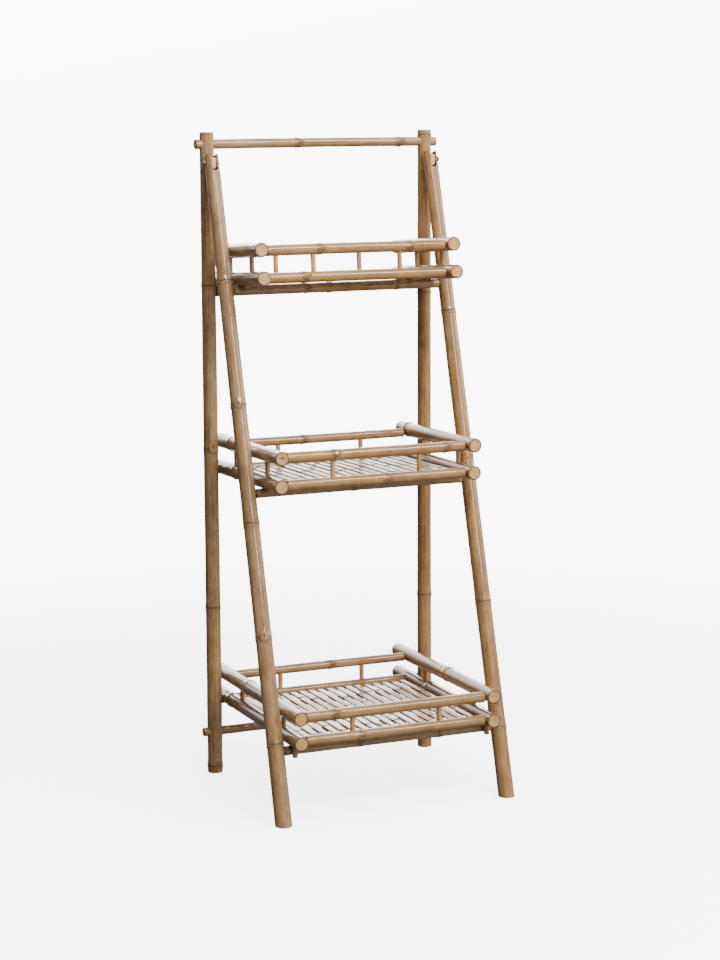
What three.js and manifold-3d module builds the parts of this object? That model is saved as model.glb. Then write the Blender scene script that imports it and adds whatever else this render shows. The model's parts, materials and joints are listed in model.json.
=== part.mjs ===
// Folding bamboo plant ladder with three gallery trays.
//
// Millimetres, +Z up, -Y towards the front, +X to the right. The origin lies on the floor,
// under the middle of the overall width and depth. Each group below is drawn with the axes
// of the rear posts in the plane y = 0, and the whole is centred at the end.
//
// The upright rear frame carries everything. The sloping front frame hangs on two forked
// hinges near the top. Each tray turns about a cross pole of the rear frame and rests on
// a rung of the front frame. The poles are solid cane with a ring at each node.

import * as THREE from 'three';
import { mergeVertices } from 'three/addons/utils/BufferGeometryUtils.js';
import Module from 'manifold-3d';

const wasm = await Module();
wasm.setup();

// ---------------------------------------------------------------- driving dimensions

// Whole stand
const overallHeight = 1200;
const frameWidth = 435;
const frontFootDistance = 360;

// Poles of the two frames
const postFootDiameter = 26.8;
const postTopDiameter = 24;
const legFootDiameter = 29;
const legTopDiameter = 26;
const frameRailDiameter = 17;
const shelfRailDiameter = 19;
const rungDiameter = 17;
const topRailDrop = 22;
const bottomRailHeight = 79;
const railOverhang = 10.5;

// Front hinge
const hingeDrop = 55;
const hingeSlack = 3;
const tongueWidth = 9.4;
const tongueHeight = 21;
const forkSlotWidth = 12.6;
const forkSlotDepth = 17;
const forkTipHeight = 14;
const screwDiameter = 5;
const screwHeadDiameter = 8.6;
const screwHeadHeight = 2.8;
const screwTipWall = 2.5;
const washerDiameter = 11;
const washerThickness = 1.2;

// Poles of the trays
const traySideGap = 3.75;
const sideRailDiameter = 25;
const frontRailDiameter = 20;
const rearRailDiameter = 17;
const balusterDiameter = 9;
const balusterSpacing = 168;
const balusterInset = 0.2;
const frontRailSetback = 16;
const upperRailDrop = 1.5;

// Trays, top to bottom: the height of the axis that each turns on, how far its lower and upper
// side rails run forward of that axis, how far back they run, and the height of its gallery.
const topTrayHeight = 909.5;
const topTrayReach = 213;
const topTrayUpperReach = 205;
const topTrayTail = 61;
const topGalleryHeight = 50.5;
const topRearRailDrop = 1.5;
const middleTrayHeight = 578.7;
const middleTrayReach = 287;
const middleTrayUpperReach = 291;
const middleTrayTail = 38;
const middleGalleryHeight = 50.5;
const middleRearRailDrop = 5;
const bottomTrayHeight = 139.8;
const bottomTrayReach = 371;
const bottomTrayTail = 59;
const bottomGalleryHeight = 44.5;
const bottomRearRailDrop = 1;
const saddleDepth = 0.6;

// Tray floors of split cane
const slatPitch = 18.9;
const slatWidth = 16.2;
const slatThickness = 3.6;
const slatLift = 0;
const slatFrontGap = 1.5;
const slatRearGap = 7;
const slatRagged = 2.4;
const battenDiameter = 10;
const battenInset = 0.22;

// Lock pegs under the bottom tray
const lockPegDiameter = 10;
const lockPegDrop = 19;
const lockPegGap = 1.2;

// Joints between poles
const fit = 0.3;
const mortiseDepth = 9;
const balusterMortise = 6;
const balusterHeadMortise = 2.5;
const battenMortise = 5;
const tenonShare = 0.6;
const shoulderGap = 1.5;

// Cane form
const nodeRidge = 1.2;
const nodeBelow = 4;
const nodeAbove = 5;
const endChamfer = 0.9;
const forkTipRound = 5;
const poleSides = 12;
const sideRailSides = 10;
const railSides = 8;
const dowelSides = 8;
const battenSides = 6;
const socketSides = 8;

// Heights of the cane nodes above the floor, on the post or leg of each side
const postNodes = { left: [13, 318, 618, 921, 1193], right: [22, 305, 596, 893, 1190] };
const legNodes = { left: [136, 316, 512, 716, 934], right: [119, 341, 602, 864] };

// Cane nodes on the cross poles, measured from the middle of the stand
const topRailNodes = [-42, 162];
const bottomRailNodes = [-96, 118];
const shelfRailNodes = [20];

// The trays. railRise is how far the lower rails lie above the axis: the top tray sits on the
// shelf rail in shallow saddles, and the others are strung on their axles. The tilt is in
// degrees, with the front up. Cane nodes are measured forward of the axis or from the middle.
const trays = [
  {
    name: 'top',
    pivotHeight: topTrayHeight,
    railRise: (sideRailDiameter + shelfRailDiameter) / 2 - saddleDepth,
    tilt: 4.4,
    reach: topTrayReach,
    upperReach: topTrayUpperReach,
    tail: topTrayTail,
    galleryHeight: topGalleryHeight,
    rearRailDrop: topRearRailDrop,
    rungNodes: [-197, -62, 116],
    lowerNodes: { left: [-35], right: [-30] },
    upperNodes: { left: [30], right: [150] },
    frontNodes: { lower: [-104], upper: [-74, 101] },
    rearNodes: { lower: [60], upper: [-20] },
  },
  {
    name: 'middle',
    pivotHeight: middleTrayHeight,
    railRise: 0,
    tilt: 1.75,
    reach: middleTrayReach,
    upperReach: middleTrayUpperReach,
    tail: middleTrayTail,
    galleryHeight: middleGalleryHeight,
    rearRailDrop: middleRearRailDrop,
    rungNodes: [-15],
    lowerNodes: { left: [60], right: [20] },
    upperNodes: { left: [40], right: [0] },
    frontNodes: { lower: [17], upper: [-83, 134] },
    rearNodes: { lower: [80], upper: [-37] },
  },
  {
    name: 'bottom',
    pivotHeight: bottomTrayHeight,
    railRise: 0,
    tilt: 1,
    reach: bottomTrayReach,
    upperReach: bottomTrayReach,
    tail: bottomTrayTail,
    galleryHeight: bottomGalleryHeight,
    rearRailDrop: bottomRearRailDrop,
    rungNodes: [-60, 95],
    lowerNodes: { left: [19], right: [97] },
    upperNodes: { left: [114], right: [179] },
    frontNodes: { lower: [-72], upper: [-121, 174] },
    rearNodes: { lower: [-110], upper: [17] },
    lockPegs: true,
  },
];

// ---------------------------------------------------------------- worked-out sizes

const poleX = frameWidth / 2;
const sideX = poleX - legFootDiameter / 2 - traySideGap - sideRailDiameter / 2;
const topRailHeight = overallHeight - topRailDrop;
const hingeHeight = overallHeight - hingeDrop;
const hingeOffset = (postTopDiameter + legTopDiameter) / 2 + hingeSlack;
const spread = Math.atan2(frontFootDistance - hingeOffset, hingeHeight);
const legLength = hingeHeight / Math.cos(spread);
const screwTip = legTopDiameter / 2 - screwTipWall;
const sides = [{ name: 'left', sign: -1 }, { name: 'right', sign: 1 }];

const postRadiusAt = (z) => {
  const share = z / overallHeight;
  return (postFootDiameter + (postTopDiameter - postFootDiameter) * share) / 2;
};

const legRadiusAt = (down) => {
  const share = (legLength - down) / (legLength + forkTipHeight);
  return (legFootDiameter + (legTopDiameter - legFootDiameter) * share) / 2;
};

// ---------------------------------------------------------------- materials

const cane = new THREE.MeshStandardMaterial({ color: 0xa98458, roughness: 0.4, metalness: 0 });
const shadedCane = new THREE.MeshStandardMaterial({ color: 0x8f6f4c, roughness: 0.45, metalness: 0 });
const splitCane = new THREE.MeshStandardMaterial({ color: 0xcdb592, roughness: 0.45, metalness: 0 });
const dowelWood = new THREE.MeshStandardMaterial({ color: 0xb98d5c, roughness: 0.55, metalness: 0 });
const steel = new THREE.MeshStandardMaterial({ color: 0x9a9892, roughness: 0.3, metalness: 1 });

// ---------------------------------------------------------------- solids

const point = (x, y, z) => new THREE.Vector3(x, y, z);

// A closed solid from a three.js geometry whose shared corners are merged.
function solidOf(geometry) {
  const bare = geometry.clone();
  bare.deleteAttribute('normal');
  bare.deleteAttribute('uv');
  const merged = mergeVertices(bare, 1e-4);
  const index = merged.index.array;
  const triangles = [];
  for (let i = 0; i < index.length; i += 3) {
    const [a, b, c] = [index[i], index[i + 1], index[i + 2]];
    if (a !== b && b !== c && c !== a) triangles.push(a, b, c);
  }
  return new wasm.Manifold(new wasm.Mesh({
    numProp: 3,
    vertProperties: Float32Array.from(merged.attributes.position.array),
    triVerts: Uint32Array.from(triangles),
  }));
}

const joined = (body, extras) => extras.reduce((sum, extra) => sum.add(extra), body);
const cut = (body, tools) => tools.reduce((rest, tool) => rest.subtract(tool), body);

// Turns a geometry that stands along +Y from the origin so that it runs from one point to another.
function laidAlong(geometry, from, to) {
  const direction = to.clone().sub(from).normalize();
  const turn = new THREE.Quaternion().setFromUnitVectors(point(0, 1, 0), direction);
  geometry.applyQuaternion(turn);
  geometry.translate(from.x, from.y, from.z);
  return solidOf(geometry);
}

// A round bar between two points.
function rod(from, to, diameter, facets = dowelSides) {
  const length = from.distanceTo(to);
  const geometry = new THREE.CylinderGeometry(diameter / 2, diameter / 2, length, facets);
  geometry.translate(0, length / 2, 0);
  return laidAlong(geometry, from, to);
}

// The hole that a bar of this diameter turns or sits in, with its clearance.
function bore(from, to, diameter, facets = socketSides) {
  const across = (diameter + 2 * fit) / Math.cos(Math.PI / facets);
  return rod(from, to, across, facets);
}

// A cane pole between two points: a tapering revolve with a ring at each node, chamfered
// ends and, where asked for, a turned-down tenon at either end.
function culm({ from, to, diameters, nodes = [], facets = railSides, tenon, tipRound = endChamfer }) {
  const length = from.distanceTo(to);
  const radiusAt = (along) => (diameters[0] + (diameters[1] - diameters[0]) * along / length) / 2;
  const tenonRadius = tenon ? tenon.diameter / 2 : 0;
  const tenonLength = tenon ? tenon.length : 0;
  const profile = [];
  const add = (radius, along) => profile.push(new THREE.Vector2(radius, along));
  if (tenon) {
    add(0, -tenonLength);
    add(tenonRadius, -tenonLength);
  }
  add(tenonRadius, 0);
  add(radiusAt(0) - endChamfer, 0);
  add(radiusAt(0), endChamfer);
  const clear = nodeAbove + nodeBelow + tipRound;
  for (const node of nodes) {
    if (node > clear && node < length - clear) {
      add(radiusAt(node), node - nodeBelow);
      add(radiusAt(node) + nodeRidge, node);
      add(radiusAt(node), node + nodeAbove);
    }
  }
  add(radiusAt(length), length - tipRound);
  if (tipRound > endChamfer) add(radiusAt(length) - tipRound * 0.3, length - tipRound * 0.3);
  add(radiusAt(length) - tipRound, length);
  add(tenonRadius, length);
  if (tenon) {
    add(tenonRadius, length + tenonLength);
    add(0, length + tenonLength);
  }
  return laidAlong(new THREE.LatheGeometry(profile, facets), from, to);
}

function meshOf(name, solid, material) {
  const { vertProperties, triVerts } = solid.getMesh();
  const geometry = new THREE.BufferGeometry();
  geometry.setAttribute('position', new THREE.BufferAttribute(Float32Array.from(vertProperties), 3));
  geometry.setIndex(new THREE.BufferAttribute(Uint32Array.from(triVerts), 1));
  geometry.computeVertexNormals();
  const mesh = new THREE.Mesh(geometry, material);
  mesh.name = name;
  return mesh;
}

// ---------------------------------------------------------------- hinge tongue and screw

// The tongue is a flat bar with rounded edges, let into the front of a post. Its outline is
// drawn in the X-Z plane about the hinge axis and it runs backwards along +Y.
function tongueBar(x, frontY, backY, grow) {
  const radius = tongueWidth / 2 + grow;
  const straight = (tongueHeight - tongueWidth) / 2;
  const outline = new THREE.Shape();
  outline.absarc(0, straight, radius, 0, Math.PI);
  outline.absarc(0, -straight, radius, Math.PI, 2 * Math.PI);
  const options = { depth: backY - frontY, bevelEnabled: false, curveSegments: 4 };
  const geometry = new THREE.ExtrudeGeometry(outline, options);
  geometry.rotateX(Math.PI / 2);
  geometry.translate(x, backY, hingeHeight);
  return solidOf(geometry);
}

// A pan-head screw enters the outer cheek of the fork, passes through the tongue and ends
// inside the inner cheek. A washer lies under its head.
function screwAndWasher(side) {
  const cheek = legRadiusAt(0);
  const at = (out) => point(side.sign * (poleX + out), 0, 0);
  const seat = cheek + fit;
  const under = seat + washerThickness + fit;
  const headRadius = screwHeadDiameter / 2;
  const profile = [
    new THREE.Vector2(0, 0),
    new THREE.Vector2(screwDiameter / 2, 0),
    new THREE.Vector2(screwDiameter / 2, under + screwTip),
    new THREE.Vector2(headRadius, under + screwTip),
    new THREE.Vector2(headRadius, under + screwTip + screwHeadHeight * 0.45),
    new THREE.Vector2(headRadius * 0.7, under + screwTip + screwHeadHeight * 0.88),
    new THREE.Vector2(0, under + screwTip + screwHeadHeight),
  ];
  const geometry = new THREE.LatheGeometry(profile, poleSides);
  const screw = laidAlong(geometry, at(-screwTip), at(under + screwHeadHeight));
  const disc = rod(at(seat), at(seat + washerThickness), washerDiameter, poleSides);
  const washer = disc.subtract(bore(at(seat - 1), at(under + 1), screwDiameter));
  return { screw, washer };
}

// ---------------------------------------------------------------- how a tray sits on its rung

// The rung lies on the axes of the sloping legs, so that the lower side rails of the tray
// come down on it. Returned are its place forward of the tray's pivot, its height, and its
// distance down the leg from the hinge.
function rungUnder(tray) {
  const tilt = THREE.MathUtils.degToRad(tray.tilt);
  const slope = Math.tan(spread);
  const level = tray.railRise - sideRailDiameter / 2 - rungDiameter / 2 - fit;
  const run = hingeOffset + (hingeHeight - tray.pivotHeight) * slope;
  const forward = (run - level * (Math.cos(tilt) * slope - Math.sin(tilt)))
    / (Math.cos(tilt) + Math.sin(tilt) * slope);
  const height = tray.pivotHeight + forward * Math.sin(tilt) + level * Math.cos(tilt);
  return { forward, level, down: (hingeHeight - height) / Math.cos(spread) };
}

// ---------------------------------------------------------------- rear frame

function rearFrame() {
  const group = new THREE.Group();
  const railEnd = poleX + postTopDiameter / 2 + railOverhang;
  const railFits = [
    { name: 'rear_top_rail', height: topRailHeight, nodes: topRailNodes },
    { name: 'rear_bottom_rail', height: bottomRailHeight, nodes: bottomRailNodes },
  ];
  for (const rail of railFits) {
    const solid = culm({
      from: point(-railEnd, 0, rail.height),
      to: point(railEnd, 0, rail.height),
      diameters: [frameRailDiameter, frameRailDiameter - 1],
      nodes: rail.nodes.map((x) => x + railEnd),
    });
    group.add(meshOf(rail.name, solid, shadedCane));
  }
  const shelf = trays[0];
  const shelfShoulder = poleX - postRadiusAt(shelf.pivotHeight) - shoulderGap;
  const shelfTenon = { diameter: shelfRailDiameter * tenonShare, length: mortiseDepth };
  const shelfRail = culm({
    from: point(-shelfShoulder, 0, shelf.pivotHeight),
    to: point(shelfShoulder, 0, shelf.pivotHeight),
    diameters: [shelfRailDiameter, shelfRailDiameter],
    nodes: shelfRailNodes.map((x) => x + shelfShoulder),
    tenon: shelfTenon,
  });
  group.add(meshOf('rear_shelf_rail', shelfRail, shadedCane));

  for (const side of sides) {
    const x = side.sign * poleX;
    const cuts = [];
    for (const rail of railFits) {
      const reach = postFootDiameter;
      cuts.push(bore(point(x - reach, 0, rail.height), point(x + reach, 0, rail.height), frameRailDiameter));
    }
    for (const tray of trays) {
      const tenonDiameter = tray === shelf ? shelfTenon.diameter : rearRailDiameter * tenonShare;
      const bottom = postRadiusAt(tray.pivotHeight) + shoulderGap - mortiseDepth - fit;
      const inner = point(x - side.sign * postFootDiameter, 0, tray.pivotHeight);
      cuts.push(bore(inner, point(x - side.sign * bottom, 0, tray.pivotHeight), tenonDiameter));
    }
    const tongueBack = postTopDiameter / 2 - 4;
    cuts.push(tongueBar(x, -hingeOffset, tongueBack + fit, fit));
    const post = cut(culm({
      from: point(x, 0, 0),
      to: point(x, 0, overallHeight),
      diameters: [postFootDiameter, postTopDiameter],
      nodes: postNodes[side.name],
      facets: poleSides,
    }), cuts);
    group.add(meshOf(`rear_post_${side.name}`, post, cane));

    const tongueFront = -(hingeOffset + legTopDiameter / 2 - 1.5);
    const screwHole = bore(
      point(x - tongueWidth, -hingeOffset, hingeHeight),
      point(x + tongueWidth, -hingeOffset, hingeHeight),
      screwDiameter,
    );
    const tongue = tongueBar(x, tongueFront, tongueBack, 0).subtract(screwHole);
    group.add(meshOf(`hinge_tongue_${side.name}`, tongue, dowelWood));
  }
  return group;
}

// ---------------------------------------------------------------- front frame

// Drawn hanging straight down from the hinge axis, then swung forward by the spread angle.
function frontFrame() {
  const group = new THREE.Group();
  group.position.set(0, -hingeOffset, hingeHeight);
  group.rotation.x = -spread;
  const rungs = trays.map((tray) => ({ tray, ...rungUnder(tray) }));
  const rungTenon = { diameter: rungDiameter * tenonShare, length: mortiseDepth };

  for (const side of sides) {
    const x = side.sign * poleX;
    const spare = legFootDiameter;
    const slotBottom = -forkSlotDepth + forkSlotWidth / 2;
    const slotTop = forkTipHeight + 1;
    const slot = new THREE.BoxGeometry(forkSlotWidth, legFootDiameter * 2, slotTop - slotBottom);
    slot.translate(x, 0, (slotTop + slotBottom) / 2);
    const slotEnd = rod(
      point(x, -legFootDiameter, slotBottom),
      point(x, legFootDiameter, slotBottom),
      forkSlotWidth,
      poleSides,
    );
    const floor = new THREE.BoxGeometry(4 * legFootDiameter, 4 * legFootDiameter, 2 * spare);
    floor.translate(0, 0, -spare);
    floor.rotateX(spread);
    floor.translate(x, 0, -legLength);
    const cuts = [
      solidOf(slot),
      slotEnd,
      solidOf(floor),
      bore(
        point(x - side.sign * (screwTip + fit), 0, 0),
        point(x + side.sign * legFootDiameter, 0, 0),
        screwDiameter,
      ),
    ];
    for (const rung of rungs) {
      const bottom = legRadiusAt(rung.down) + shoulderGap - mortiseDepth - fit;
      const inner = point(x - side.sign * legFootDiameter, 0, -rung.down);
      cuts.push(bore(inner, point(x - side.sign * bottom, 0, -rung.down), rungTenon.diameter));
    }
    const leg = cut(culm({
      from: point(x, 0, -legLength - spare / 3),
      to: point(x, 0, forkTipHeight),
      diameters: [legFootDiameter, legTopDiameter],
      nodes: legNodes[side.name].map((z) => legLength + spare / 3 - (hingeHeight - z) / Math.cos(spread)),
      facets: poleSides,
      tipRound: forkTipRound,
    }), cuts);
    group.add(meshOf(`front_leg_${side.name}`, leg, cane));
    const { screw, washer } = screwAndWasher(side);
    group.add(meshOf(`hinge_screw_${side.name}`, screw, steel));
    group.add(meshOf(`hinge_washer_${side.name}`, washer, steel));
  }

  for (const rung of rungs) {
    const shoulder = poleX - legRadiusAt(rung.down) - shoulderGap;
    const solid = culm({
      from: point(-shoulder, 0, -rung.down),
      to: point(shoulder, 0, -rung.down),
      diameters: [rungDiameter, rungDiameter],
      nodes: rung.tray.rungNodes.map((x) => x + shoulder),
      tenon: rungTenon,
    });
    group.add(meshOf(`front_rung_${rung.tray.name}`, solid, shadedCane));
  }
  return group;
}

// ---------------------------------------------------------------- trays

// Slats of split cane run front to back across two round battens.
function trayFloor(tray, frontAt) {
  const inner = sideX - sideRailDiameter / 2;
  const frontEnd = -(frontAt - frontRailDiameter / 2 - slatFrontGap);
  const rearEnd = -(rearRailDiameter / 2 + slatRearGap);
  const bed = tray.railRise + slatLift;
  const half = slatWidth / 2;
  const profile = new THREE.Shape();
  profile.moveTo(-half, 0);
  profile.lineTo(half, 0);
  profile.lineTo(half - 0.6, slatThickness * 0.6);
  profile.quadraticCurveTo(0, slatThickness * 1.4, -half + 0.6, slatThickness * 0.6);
  const count = Math.floor((2 * inner - slatWidth - 2) / slatPitch) + 1;
  const slats = [];
  for (let i = 0; i < count; i += 1) {
    const ragged = slatRagged * Math.sin(2.3 * i + 7 * tray.tilt);
    const back = rearEnd + ragged;
    const options = { depth: back - frontEnd, bevelEnabled: false, curveSegments: 2 };
    const geometry = new THREE.ExtrudeGeometry(profile, options);
    geometry.rotateX(Math.PI / 2);
    geometry.translate((i - (count - 1) / 2) * slatPitch, back, bed);
    slats.push(solidOf(geometry));
  }
  const [first, ...others] = battenPlaces(tray, frontAt).map((y) => rod(
    point(-inner - battenMortise, y, bed - battenDiameter / 2 + 0.6),
    point(inner + battenMortise, y, bed - battenDiameter / 2 + 0.6),
    battenDiameter,
    battenSides,
  ));
  return joined(first, [...others, ...slats]);
}

function battenPlaces(tray, frontAt) {
  return [-battenInset * frontAt, -(1 - battenInset) * frontAt];
}

function trayGroup(tray) {
  const group = new THREE.Group();
  group.position.set(0, 0, tray.pivotHeight);
  group.rotation.x = -THREE.MathUtils.degToRad(tray.tilt);
  const label = `${tray.name}_tray`;
  const low = tray.railRise;
  const high = low + tray.galleryHeight;
  const frontAt = Math.min(tray.reach, tray.upperReach) - frontRailSetback;
  const bed = low + slatLift;
  const sideRadius = sideRailDiameter / 2;
  const inner = sideX - sideRadius;
  const balusterYs = [-balusterInset * frontAt, -(1 - balusterInset) * frontAt];
  const balusterXs = [-balusterSpacing / 2, balusterSpacing / 2];
  const axleInTray = tray.railRise === 0;
  const frontTenon = { diameter: frontRailDiameter * tenonShare, length: mortiseDepth };
  const rearTenon = { diameter: rearRailDiameter * tenonShare, length: mortiseDepth };
  const rung = rungUnder(tray);
  const pegForward = rung.forward + rungDiameter / 2 + lockPegDiameter / 2 + lockPegGap;
  const pegTop = low - sideRadius + balusterMortise;

  // Cross poles: height, place forward of the axis, tenons and whether balusters stand on it.
  const crossPoles = [
    { name: 'front_lower_rail', y: -frontAt, z: low, diameter: frontRailDiameter, tenon: frontTenon,
      nodes: tray.frontNodes.lower, lower: true },
    { name: 'front_upper_rail', y: -frontAt, z: high - upperRailDrop, diameter: frontRailDiameter,
      tenon: frontTenon, nodes: tray.frontNodes.upper, lower: false },
    { name: 'rear_upper_rail', y: 0, z: high - tray.rearRailDrop, diameter: rearRailDiameter,
      tenon: rearTenon, nodes: tray.rearNodes.upper, lower: false },
  ];
  if (!axleInTray) {
    crossPoles.push({ name: 'rear_lower_rail', y: 0, z: low, diameter: rearRailDiameter,
      tenon: rearTenon, nodes: tray.rearNodes.lower, lower: true });
  }
  const shoulder = inner - shoulderGap;
  for (const pole of crossPoles) {
    let solid = culm({
      from: point(-shoulder, pole.y, pole.z),
      to: point(shoulder, pole.y, pole.z),
      diameters: [pole.diameter, pole.diameter - 0.6],
      nodes: pole.nodes.map((x) => x + shoulder),
      tenon: pole.tenon,
    });
    const socketAt = pole.lower ? footSocket : headSocket;
    solid = cut(solid, balusterXs.map((x) => socketAt(x, pole.y, pole)));
    group.add(meshOf(`${label}_${pole.name}`, solid, cane));
  }

  // The rear lower rail of the two lower trays runs on through the side rails and turns in
  // the posts, so it is the axle of the tray.
  if (axleInTray) {
    const journal = poleX - postRadiusAt(tray.pivotHeight) - shoulderGap;
    const axle = culm({
      from: point(-journal, 0, low),
      to: point(journal, 0, low),
      diameters: [rearRailDiameter, rearRailDiameter],
      nodes: tray.rearNodes.lower.map((x) => x + journal),
      tenon: rearTenon,
    });
    const carrier = { z: low, diameter: rearRailDiameter };
    const sockets = balusterXs.map((x) => footSocket(x, 0, carrier));
    group.add(meshOf(`${label}_axle_rail`, cut(axle, sockets), cane));
  }

  // Balusters between the front rails and between the rear rails.
  const rows = [
    { name: 'front', y: -frontAt, top: high - upperRailDrop, diameter: frontRailDiameter },
    { name: 'rear', y: 0, top: high - tray.rearRailDrop, diameter: rearRailDiameter },
  ];
  for (const row of rows) {
    const foot = low + row.diameter / 2 - balusterMortise;
    const head = row.top - row.diameter / 2 + balusterHeadMortise;
    for (const side of sides) {
      const x = side.sign * balusterSpacing / 2;
      const solid = rod(point(x, row.y, foot), point(x, row.y, head), balusterDiameter);
      group.add(meshOf(`${label}_${row.name}_baluster_${side.name}`, solid, dowelWood));
    }
  }

  for (const side of sides) {
    const x = side.sign * sideX;
    const inward = -side.sign;
    const alongNodes = (nodes) => nodes.map((forward) => tray.tail + forward);
    const tenonSocket = (pole) => bore(
      point(x + inward * (sideRadius + shoulderGap + 2), pole.y, pole.z),
      point(x + inward * (sideRadius + shoulderGap - mortiseDepth - fit), pole.y, pole.z),
      pole.tenon.diameter,
    );

    const lowerCuts = crossPoles.filter((pole) => pole.lower).map(tenonSocket);
    lowerCuts.push(...balusterYs.map((y) => footSocket(x, y, { z: low, diameter: sideRailDiameter })));
    for (const y of battenPlaces(tray, frontAt)) {
      const z = bed - battenDiameter / 2 + 0.6;
      const end = sideRadius - battenMortise - fit;
      lowerCuts.push(bore(point(x + inward * sideRailDiameter, y, z), point(x + inward * end, y, z), battenDiameter));
    }
    const axleDiameter = axleInTray ? rearRailDiameter : shelfRailDiameter;
    const reach = sideRailDiameter;
    lowerCuts.push(bore(point(x - reach, 0, 0), point(x + reach, 0, 0), axleDiameter, poleSides));
    if (tray.lockPegs) {
      const pegBottom = low - sideRadius - lockPegDrop;
      const peg = rod(point(x, -pegForward, pegBottom), point(x, -pegForward, pegTop), lockPegDiameter);
      group.add(meshOf(`lock_peg_${side.name}`, peg, dowelWood));
      const top = point(x, -pegForward, pegTop + fit);
      lowerCuts.push(bore(point(x, -pegForward, low - sideRailDiameter), top, lockPegDiameter));
    }
    const lower = cut(culm({
      from: point(x, tray.tail, low),
      to: point(x, -tray.reach, low),
      diameters: [sideRailDiameter, sideRailDiameter],
      nodes: alongNodes(tray.lowerNodes[side.name]),
      facets: sideRailSides,
    }), lowerCuts);
    group.add(meshOf(`${label}_lower_side_rail_${side.name}`, lower, cane));

    const upper = joined(culm({
      from: point(x, tray.tail, high),
      to: point(x, -tray.upperReach, high),
      diameters: [sideRailDiameter, sideRailDiameter],
      nodes: alongNodes(tray.upperNodes[side.name]),
      facets: sideRailSides,
    }), balusterYs.map((y) => rod(
      point(x, y, low + sideRadius - balusterMortise),
      point(x, y, high - sideRadius / 2),
      balusterDiameter,
    )));
    const upperCuts = crossPoles.filter((pole) => !pole.lower).map(tenonSocket);
    group.add(meshOf(`${label}_upper_side_rail_${side.name}`, cut(upper, upperCuts), cane));
  }
  group.add(meshOf(`${label}_floor`, trayFloor(tray, frontAt), splitCane));
  return group;
}

// The mortise that takes the foot of a baluster, in the top of the pole it stands on.
function footSocket(x, y, pole) {
  const bottom = pole.z + pole.diameter / 2 - balusterMortise - fit;
  return bore(point(x, y, bottom), point(x, y, pole.z + pole.diameter), balusterDiameter);
}

// The shallow mortise that takes its head, in the underside of the pole above.
function headSocket(x, y, pole) {
  const top = pole.z - pole.diameter / 2 + balusterHeadMortise + fit;
  return bore(point(x, y, pole.z - pole.diameter), point(x, y, top), balusterDiameter);
}

// ---------------------------------------------------------------- assembly

const stand = new THREE.Group();
stand.add(rearFrame(), frontFrame(), ...trays.map(trayGroup));

// The stand is moved so that the origin is under the middle of its overall depth.
const extent = new THREE.Box3().setFromObject(stand, true);
stand.position.y = -(extent.min.y + extent.max.y) / 2;

export default stand;
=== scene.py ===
# %% [markdown]
# # A folding plant ladder made of cane
#
# The stand is built from round bamboo canes: an upright rear frame, a sloping front frame
# that hangs on two forked hinges, and three trays with low galleries. The construction model
# already fixes every pole's axis and thickness. This lesson rebuilds each pole around that
# axis with the form and finish of real cane, and keeps every piece where its solid stands.

# %% Load the construction model
import json
import math

import bmesh
import bpy
import numpy as np
from mathutils import Matrix, Vector


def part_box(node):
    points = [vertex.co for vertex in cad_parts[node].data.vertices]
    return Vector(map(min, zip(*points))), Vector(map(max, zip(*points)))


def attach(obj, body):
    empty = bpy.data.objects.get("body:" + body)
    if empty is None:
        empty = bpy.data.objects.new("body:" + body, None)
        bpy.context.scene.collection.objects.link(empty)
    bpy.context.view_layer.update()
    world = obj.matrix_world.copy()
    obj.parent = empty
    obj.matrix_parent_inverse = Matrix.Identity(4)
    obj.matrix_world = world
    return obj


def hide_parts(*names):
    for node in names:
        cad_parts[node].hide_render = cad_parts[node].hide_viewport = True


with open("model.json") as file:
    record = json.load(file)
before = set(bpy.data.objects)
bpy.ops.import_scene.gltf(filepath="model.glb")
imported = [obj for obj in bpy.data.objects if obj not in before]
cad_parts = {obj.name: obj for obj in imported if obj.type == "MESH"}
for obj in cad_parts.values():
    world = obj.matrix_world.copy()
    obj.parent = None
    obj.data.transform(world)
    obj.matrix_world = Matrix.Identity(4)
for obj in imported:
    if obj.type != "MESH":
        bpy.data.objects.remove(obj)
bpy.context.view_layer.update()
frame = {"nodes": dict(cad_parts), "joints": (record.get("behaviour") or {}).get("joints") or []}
joints = {joint["name"]: joint for joint in frame["joints"]}
MM = 0.001

# %% [markdown]
# ## The camera
#
# A photograph taken from a few metres away flattens the trays, so the camera's distance
# matters as much as its direction. Its place, turn and lens were worked out from the edges of
# the poles in the photograph, and are kept here as real sizes.

# %% Camera
IMAGE_WIDTH = 720
IMAGE_HEIGHT = 960
SENSOR_SIZE = 36
POST_PLANE = joints["middle_tray_fold"]["pos_m"][1]
CAMERA_PLACE = Vector((-1.60694, -3.99666 + POST_PLANE, 1.26601))
CAMERA_TURN = math.radians(22.92)
CAMERA_DIP = math.radians(8.41)
CAMERA_ROLL = math.radians(-0.27)
FOCAL_PIXELS = 2304.43
IMAGE_CENTRE = (360.05, 435.30)


def in_scene(name, data):
    """Adds an object that holds this data to the scene."""
    item = bpy.data.objects.new(name, data)
    bpy.context.scene.collection.objects.link(item)
    return item


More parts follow.
